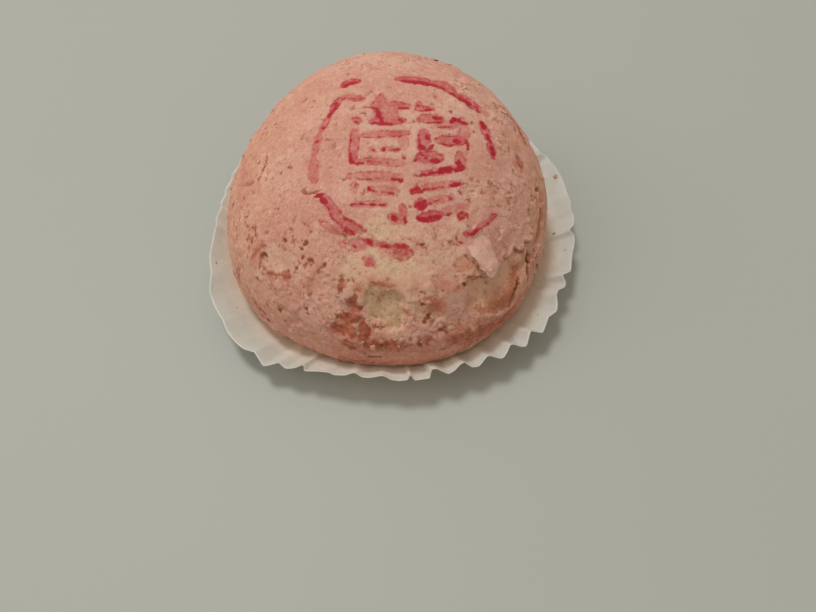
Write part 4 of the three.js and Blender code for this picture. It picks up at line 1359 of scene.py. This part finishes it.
def waves_round(chosen, values, count=6):
    """The smooth line of waves round the case that best follows some of its corners."""
    def terms(angles):
        angles = np.asarray(angles, float)
        pairs = [wave(k * angles) for k in range(1, count + 1) for wave in (np.cos, np.sin)]
        return np.stack([np.ones_like(angles), *pairs], axis=-1)

    weights = np.linalg.lstsq(terms(case_angles[chosen]), values[chosen], rcond=None)[0]
    return lambda angles: terms(angles) @ weights


on_rim = case_corners[:, 2] > 0.75 * case_top
on_fold = (case_corners[:, 2] < 0.06 * case_top) & (case_reach > 0.5 * case_reach.max())
rim_reach = waves_round(on_rim, case_reach)
rim_height = waves_round(on_rim, case_corners[:, 2])
fold_reach = waves_round(on_fold, case_reach)
print("fold at", fold_reach(0.0).round(1), "mm, rim at", rim_reach(0.0).round(1), "mm")
print("height of the rim:", rim_height(0.0).round(1), "mm")

# %% Shape the pleats
PLEATS = 50
STEPS_PER_PLEAT = 16
WALL_ROWS = 26
BROAD_SIDE = 0.68  # share of a pleat
FOLD_OFFSETS = (-0.07, -0.035, 0, 0.035, 0.07)  # shares of a pleat, over which its folds are rounded
SMOOTHING = ((-1, 0.1), (0, 0.8), (1, 0.1))  # each point of the rim takes a little from its neighbours
PLEAT_REACH = 0.85
PLEAT_OPENING = 0.7  # exponent: below 1 the pleats open early on the way up
WALL_SWEEP = 1.05  # exponent of the wall's height: 1 is straight
# Corners of the rim from the left round to the right: azimuth, and how far each stands out
RIM_CORNERS = [
    (-172, 0), (-166, 0.3), (-160, -0.5), (-154, 0.3), (-147, -0.5), (-143, -0.8), (-139, 0), (-132, 0),
    (-129, -0.8), (-124.5, 1.3), (-121, -0.6), (-118.5, 0.3), (-116, -0.4), (-114, -1.6), (-113.5, 0),
    (-109, -0.3), (-106.5, -0.3), (-105, 0.2), (-101.5, 0.2), (-100, -0.4), (-99, -0.5), (-97, 0.4),
    (-95, 0.6), (-91, -0.2), (-90, 0), (-88.5, 0.6), (-86, 0.9), (-83.5, 0.7), (-83, -0.8), (-82, 0.8),
    (-77.5, 0.4), (-76.5, -1.8), (-75, -1.9), (-73, -0.9), (-72, -0.5), (-70, -1.1), (-68, -2.2),
    (-66.5, -2.4), (-65, -1), (-63, -0.7), (-59.5, -2.3), (-58.5, -2), (-56.5, -0.4), (-55.5, 0),
    (-53.5, -0.8), (-51.5, -2), (-50.5, -1.6), (-49, 0), (-47.5, 0.7), (-44.5, -0.8), (-43.5, -1.3),
    (-41, 1.3), (-39.5, 1), (-36, 0.1), (-32.5, 1.2), (-30.5, 0.5), (-28.5, -0.8), (-26.5, -1), (-24, 0.5),
    (-22.5, 0.2), (-21, -1.5), (-18, 0.5), (-12, -0.2), (-6, -0.1), (-4, -0.6), (-3, -2.2), (0, -0.6),
    (4, -0.5), (6, -1.3), (10, -0.6), (14, -1), (17, -0.5), (25, 0.3), (31, 0),
]
FLOOR_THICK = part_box("pastry")[0][2] / MM  # the pastry stands on it
PAPER_THICK = 0.16

around = PLEATS * STEPS_PER_PLEAT
case_turn = 2 * math.pi * np.arange(around) / around - math.pi / 2
pleat_depth = 0.9 + 0.5 * chance.random(PLEATS)
pleat_height = chance.normal(size=PLEATS) * 0.16
pleat_creep = chance.normal(size=PLEATS) * 0.12


def saw(phase):
    """A pleat's section: -1 in the valley and 1 on the tip, a broad side up and a short side down."""
    phase = phase % 1
    return 2 * np.where(phase < BROAD_SIDE, phase / BROAD_SIDE, (1 - phase) / (1 - BROAD_SIDE)) - 1


def round_list(values, phase):
    """Values of the pleats, blended between neighbours."""
    return np.interp(phase % PLEATS, np.arange(PLEATS + 1), np.append(values, values[0]))


def wall_point_rows():
    """Points of the wall's outer side, row by row from the fold to the rim."""
    count = (case_turn + math.pi / 2) * PLEATS / (2 * math.pi)
    creep = round_list(pleat_creep, count)
    crest = sum(saw(count + creep + offset) for offset in FOLD_OFFSETS) / len(FOLD_OFFSETS)
    degrees = (np.degrees(case_turn) + 180) % 360 - 180
    known = ramp(degrees, -178, -172) * ramp(degrees, 31, 27)
    pressed_flat = 1 - 0.6 * ramp(np.abs(degrees), 95, 130)
    standing_out = round_list(pleat_depth, count) * crest * (1 - known) * pressed_flat
    standing_out += np.interp(degrees, *np.transpose(RIM_CORNERS)) * known
    standing_out = sum(np.roll(standing_out, step) * weight for step, weight in SMOOTHING)
    rows = []
    for share in np.linspace(0, 1, WALL_ROWS + 1):
        reach = fold_reach(case_turn) + (rim_reach(case_turn) - fold_reach(case_turn)) * share
        reach += PLEAT_REACH * standing_out * share**PLEAT_OPENING
        height = rim_height(case_turn) * share**WALL_SWEEP
        height += share * (round_list(pleat_height, count) - 0.5 * standing_out)
        rows.append(np.stack([reach * np.cos(case_turn), reach * np.sin(case_turn), height], axis=1))
    return rows


wall_rows = wall_point_rows()
print("pleats:", PLEATS, "tips", round(2 * math.pi * float(rim_reach(0.0)) / PLEATS, 1), "mm apart")


# %% Make the case
def paper_mesh():
    """A closed skin: floor, wall outside, rim, wall inside and floor again."""
    flat = [wall_rows[0] * np.array([share, share, 0]) for share in (0.35, 0.8, 0.97)]
    outer = np.array(flat + wall_rows)
    crumple = 0.13 * rough(outer.reshape(-1, 3), 5.0, 3, 71.0).reshape(outer.shape[:2])
    grow = np.concatenate([np.zeros(len(flat)), np.linspace(0, 1, len(wall_rows)) ** 0.8])[:, None]
    outer[..., 2] += np.abs(crumple) * grow
    outer[..., :2] *= 1 + (crumple * grow / 45)[..., None]
    thinning = np.geomspace(FLOOR_THICK, PAPER_THICK, len(wall_rows))
    thick = np.concatenate([np.full(len(flat), FLOOR_THICK), thinning])
    inner = outer.copy()
    inner[..., 2] += thick[:, None]
    rows = np.concatenate([outer, inner[::-1]])
    points = np.concatenate([rows.reshape(-1, 3), [[0, 0, 0]], [[0, 0, FLOOR_THICK]]])
    number = np.arange(rows.shape[0] * around).reshape(rows.shape[0], around)
    ahead = np.roll(number, -1, axis=1)
    faces = np.stack([number[:-1], ahead[:-1], ahead[1:], number[1:]], axis=-1).reshape(-1, 4)[:, ::-1]
    under, above = len(points) - 2, len(points) - 1
    fans = [(under, b, a) for a, b in zip(number[0], ahead[0])]
    fans += [(above, a, b) for a, b in zip(number[-1], ahead[-1])]
    return points, [*faces, *fans]


case_points, case_faces = paper_mesh()
paper = mesh_piece("fluted_paper_case", case_points, case_faces)
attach(paper, "root")
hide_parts("paper_case")
print("points of the case:", len(case_points), "height:", case_points[:, 2].max().round(2), "mm")

# %% [markdown]
# ## Finish of the paper
# White greaseproof paper is not pure white: it is a warm, faintly mottled grey-white, a little
# shiny, and thin enough to let light through. Towards the fold it is painted lighter and pinker,
# for the light that comes through it and bounces from the pastry. Fibres show as very fine bumps.

# %% Paint the paper
PAPER_WHITE = tint(205, 203, 194)
PAPER_SHADE = tint(197, 194, 183)
PAPER_PAINTED_BOUNCE = tint(246, 224, 202)
PAINTED_BOUNCE_FULL = 42  # reach in millimetres up to which the paper is painted at its lightest
PAINTED_BOUNCE_ENDS = 49


def paper_finish():
    """Thin white greaseproof paper."""
    finish = Finish("greaseproof_paper")
    colour = finish.blotches(PAPER_WHITE, PAPER_SHADE, (6, 4), 0.35, 0.65)
    x_y_only = finish.add("ShaderNodeVectorMath", {0: finish.place, 1: (1, 1, 0)}, operation="MULTIPLY")
    reach = finish.add("ShaderNodeVectorMath", {0: x_y_only.outputs[0]}, operation="LENGTH").outputs["Value"]
    uneven_reach = finish.plus(reach, finish.times(finish.noise(4, 3), 6 * MM))
    # painted light: the paper turns lighter and pinker towards the fold, for light through it and bounced
    # from the pastry
    greasy = finish.ramp(uneven_reach, PAINTED_BOUNCE_ENDS * MM, PAINTED_BOUNCE_FULL * MM, 0, 0.95)
    colour = finish.mix(greasy, colour, PAPER_PAINTED_BOUNCE)
    dull = finish.ramp(finish.noise(3, 3), 0.3, 0.7, 0.48, 0.66)
    relief = finish.bump(finish.noise(0.5, 5, 0.65), 0.03)
    relief = finish.bump(finish.noise(4, 2), 0.12, relief)
    finish.surface(Base_Color=colour, Roughness=dull, Normal=relief)
    finish.surface(Subsurface_Weight=0.6, Subsurface_Radius=(1.0, 0.9, 0.8), Subsurface_Scale=1.5 * MM)
    return finish.material


paper.data.materials.append(paper_finish())

# %% [markdown]
# ## Crumbs on the paper
# A few crumbs of crust have dropped on the case, the largest near its rim on the right. Each is a
# ball of points pushed in and out by noise, set on the paper where a ray from above meets it.

# %% Drop the crumbs
CRUMBS = [  # azimuth, distance from the middle, length, how flat it is
    (21.5, 48.3, 1.8, 0.5), (-1.5, 42.6, 1.5, 0.25), (-9, 45.2, 0.6, 0.6), (-36, 44.4, 0.5, 0.6),
    (64, 44.5, 1.0, 0.5), (118, 44, 0.7, 0.6), (-164, 44.6, 0.8, 0.5), (-147, 43.6, 0.5, 0.6),
]
CRUMB_CRUST = tint(206, 160, 124)
CRUMB_BROWN = tint(150, 98, 64)
CRUMB_INSIDE = tint(222, 190, 164)


def crumb_lump(length, flat, shift):
    """Points and triangles of one lump about the origin."""
    ball = bmesh.new()
    bmesh.ops.create_icosphere(ball, subdivisions=4, radius=0.5)
    points = np.array([corner.co for corner in ball.verts])
    faces = [[corner.index for corner in face.verts] for face in ball.faces]
    ball.free()
    points *= (1 + 0.35 * rough(points * 2, 0.9, 4, shift))[:, None]
    return points * length * np.array([1.0, 0.75, flat]), faces


def make_crumbs():
    """All crumbs as one piece, each seated on the paper."""
    paper_tree = BVHTree.FromPolygons([Vector(point) for point in case_points], whole_numbers(case_faces))
    points, faces = [], []
    for number, (azimuth, reach, length, flat) in enumerate(CRUMBS):
        lump, sides = crumb_lump(length, flat, 5.0 * number)
        angle = math.radians(azimuth)
        above = Vector((reach * math.cos(angle), reach * math.sin(angle), 30))
        seat, normal, _, _ = paper_tree.ray_cast(above, Vector((0, 0, -1)))
        spun = Matrix.Rotation(2.1 * number, 3, "Z")
        turned = np.array(normal.to_track_quat("Z", "Y").to_matrix()) @ np.array(spun)
        first = sum(len(group) for group in points)
        points.append(lump @ turned.T + np.array(seat + normal * 0.3 * flat * length))
        faces += [[corner + first for corner in side] for side in sides]
    return mesh_piece("dropped_crumbs", np.concatenate(points), faces)


def crumb_finish():
    """Toasted outside and paler inside."""
    finish = Finish("toasted_crumb")
    colour = finish.blotches(CRUMB_CRUST, CRUMB_BROWN, (0.7, 4, 0.6), 0.4, 0.62)
    colour = finish.blotches(colour, CRUMB_INSIDE, (0.35, 3), 0.55, 0.7, 0.7)
    dull = finish.ramp(finish.noise(0.5, 2), 0.3, 0.7, 0.6, 0.85)
    relief = finish.bump(finish.noise(0.3, 4, 0.6), 0.06)
    finish.surface(Base_Color=colour, Roughness=dull, Normal=relief)
    return finish.material


crumbs = make_crumbs()
crumbs.data.materials.append(crumb_finish())
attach(crumbs, "root")
print("crumbs:", len(CRUMBS), "triangles:", len(crumbs.data.polygons))

# %% [markdown]
# ## Floor, light and camera
# The cake is shown on a plain pale floor. The light is that of a room: a soft lamp high up behind
# it on the left, a wider and weaker one at its left side, and a dim even sky. They leave the front
# and the right side in a gentle shade. The camera looks down from the front at nearly sixty
# degrees, close enough for the crown to look larger than the foot.

# %% Floor
FLOOR_GREY = tint(170, 171, 165)
FLOOR_SHADE = tint(161, 162, 155)
FLOOR_HALF = 3000  # in millimetres
FLOOR_LEVEL = -0.05  # just under the case, so that the two never share a plane


def make_floor():
    """A plain floor just under the case."""
    way_round = ((-1, -1), (1, -1), (1, 1), (-1, 1))
    corners = [(x * FLOOR_HALF, y * FLOOR_HALF, FLOOR_LEVEL) for x, y in way_round]
    floor = mesh_piece("floor", corners, [(0, 1, 2, 3)])
    finish = Finish("matt_floor")
    colour = finish.blotches(FLOOR_GREY, FLOOR_SHADE, (60, 2), 0.3, 0.7, 0.06)
    finish.surface(Base_Color=colour, Roughness=0.6)
    floor.data.materials.append(finish.material)


make_floor()

# %% Light
LAMP_FAR = 2.0  # metres
LAMP_COLOUR = (1.0, 1.02, 1.02)
SKY_COLOUR = (0.98, 0.91, 0.77, 1.0)
SKY_STRENGTH = 0.52
LAMPS = [  # name, azimuth and elevation in degrees, width in metres, power in watts
    ("ceiling_lamp", 130, 68, 0.5, 16.5),
    ("side_lamp", 188, 38, 1.2, 6.0),
]


def make_light():
    """Two broad lamps and an even sky."""
    for name, turn, lift, width, power in LAMPS:
        lamp = bpy.data.lights.new(name, "AREA")
        lamp.shape = "DISK"
        lamp.size = width
        lamp.energy = power
        lamp.color = LAMP_COLOUR
        turn, lift = math.radians(turn), math.radians(lift)
        way = Vector((math.cos(turn) * math.cos(lift), math.sin(turn) * math.cos(lift), math.sin(lift)))
        holder = bpy.data.objects.new(name, lamp)
        holder.location = way * LAMP_FAR
        holder.rotation_euler = way.to_track_quat("Z", "Y").to_euler()
        bpy.context.scene.collection.objects.link(holder)
    sky = bpy.data.worlds.new("even_sky")
    sky.use_nodes = True
    backdrop = sky.node_tree.nodes["Background"]
    backdrop.inputs["Color"].default_value = SKY_COLOUR
    backdrop.inputs["Strength"].default_value = SKY_STRENGTH
    bpy.context.scene.world = sky


make_light()

# %% Camera
CAMERA_PLACE = Vector((4.85, -106.6, 141.7)) * MM
LOOK_DOWN = 58.64  # degrees below level
CAMERA_ROLL = 0.39  # degrees
SENSOR_WIDTH = 36  # millimetres
LENS = 29.12  # millimetres


def make_camera():
    """A camera in front and above, looking at the crown."""
    view = bpy.data.cameras.new("camera")
    view.sensor_width = SENSOR_WIDTH
    view.lens = LENS
    view.clip_start = 0.01
    camera = bpy.data.objects.new("camera", view)
    tilted = Euler((math.radians(90 - LOOK_DOWN), 0, 0)).to_matrix()
    turned = tilted @ Matrix.Rotation(math.radians(CAMERA_ROLL), 3, "Z")
    camera.location = CAMERA_PLACE
    camera.rotation_euler = turned.to_euler()
    bpy.context.scene.collection.objects.link(camera)
    bpy.context.scene.camera = camera


make_camera()
bpy.context.scene.view_settings.view_transform = "Standard"

# %% [markdown]
# ## Bring the scene up to date
# Once every piece is in place, the view layer is updated.

# %% Update the scene
bpy.context.view_layer.update()
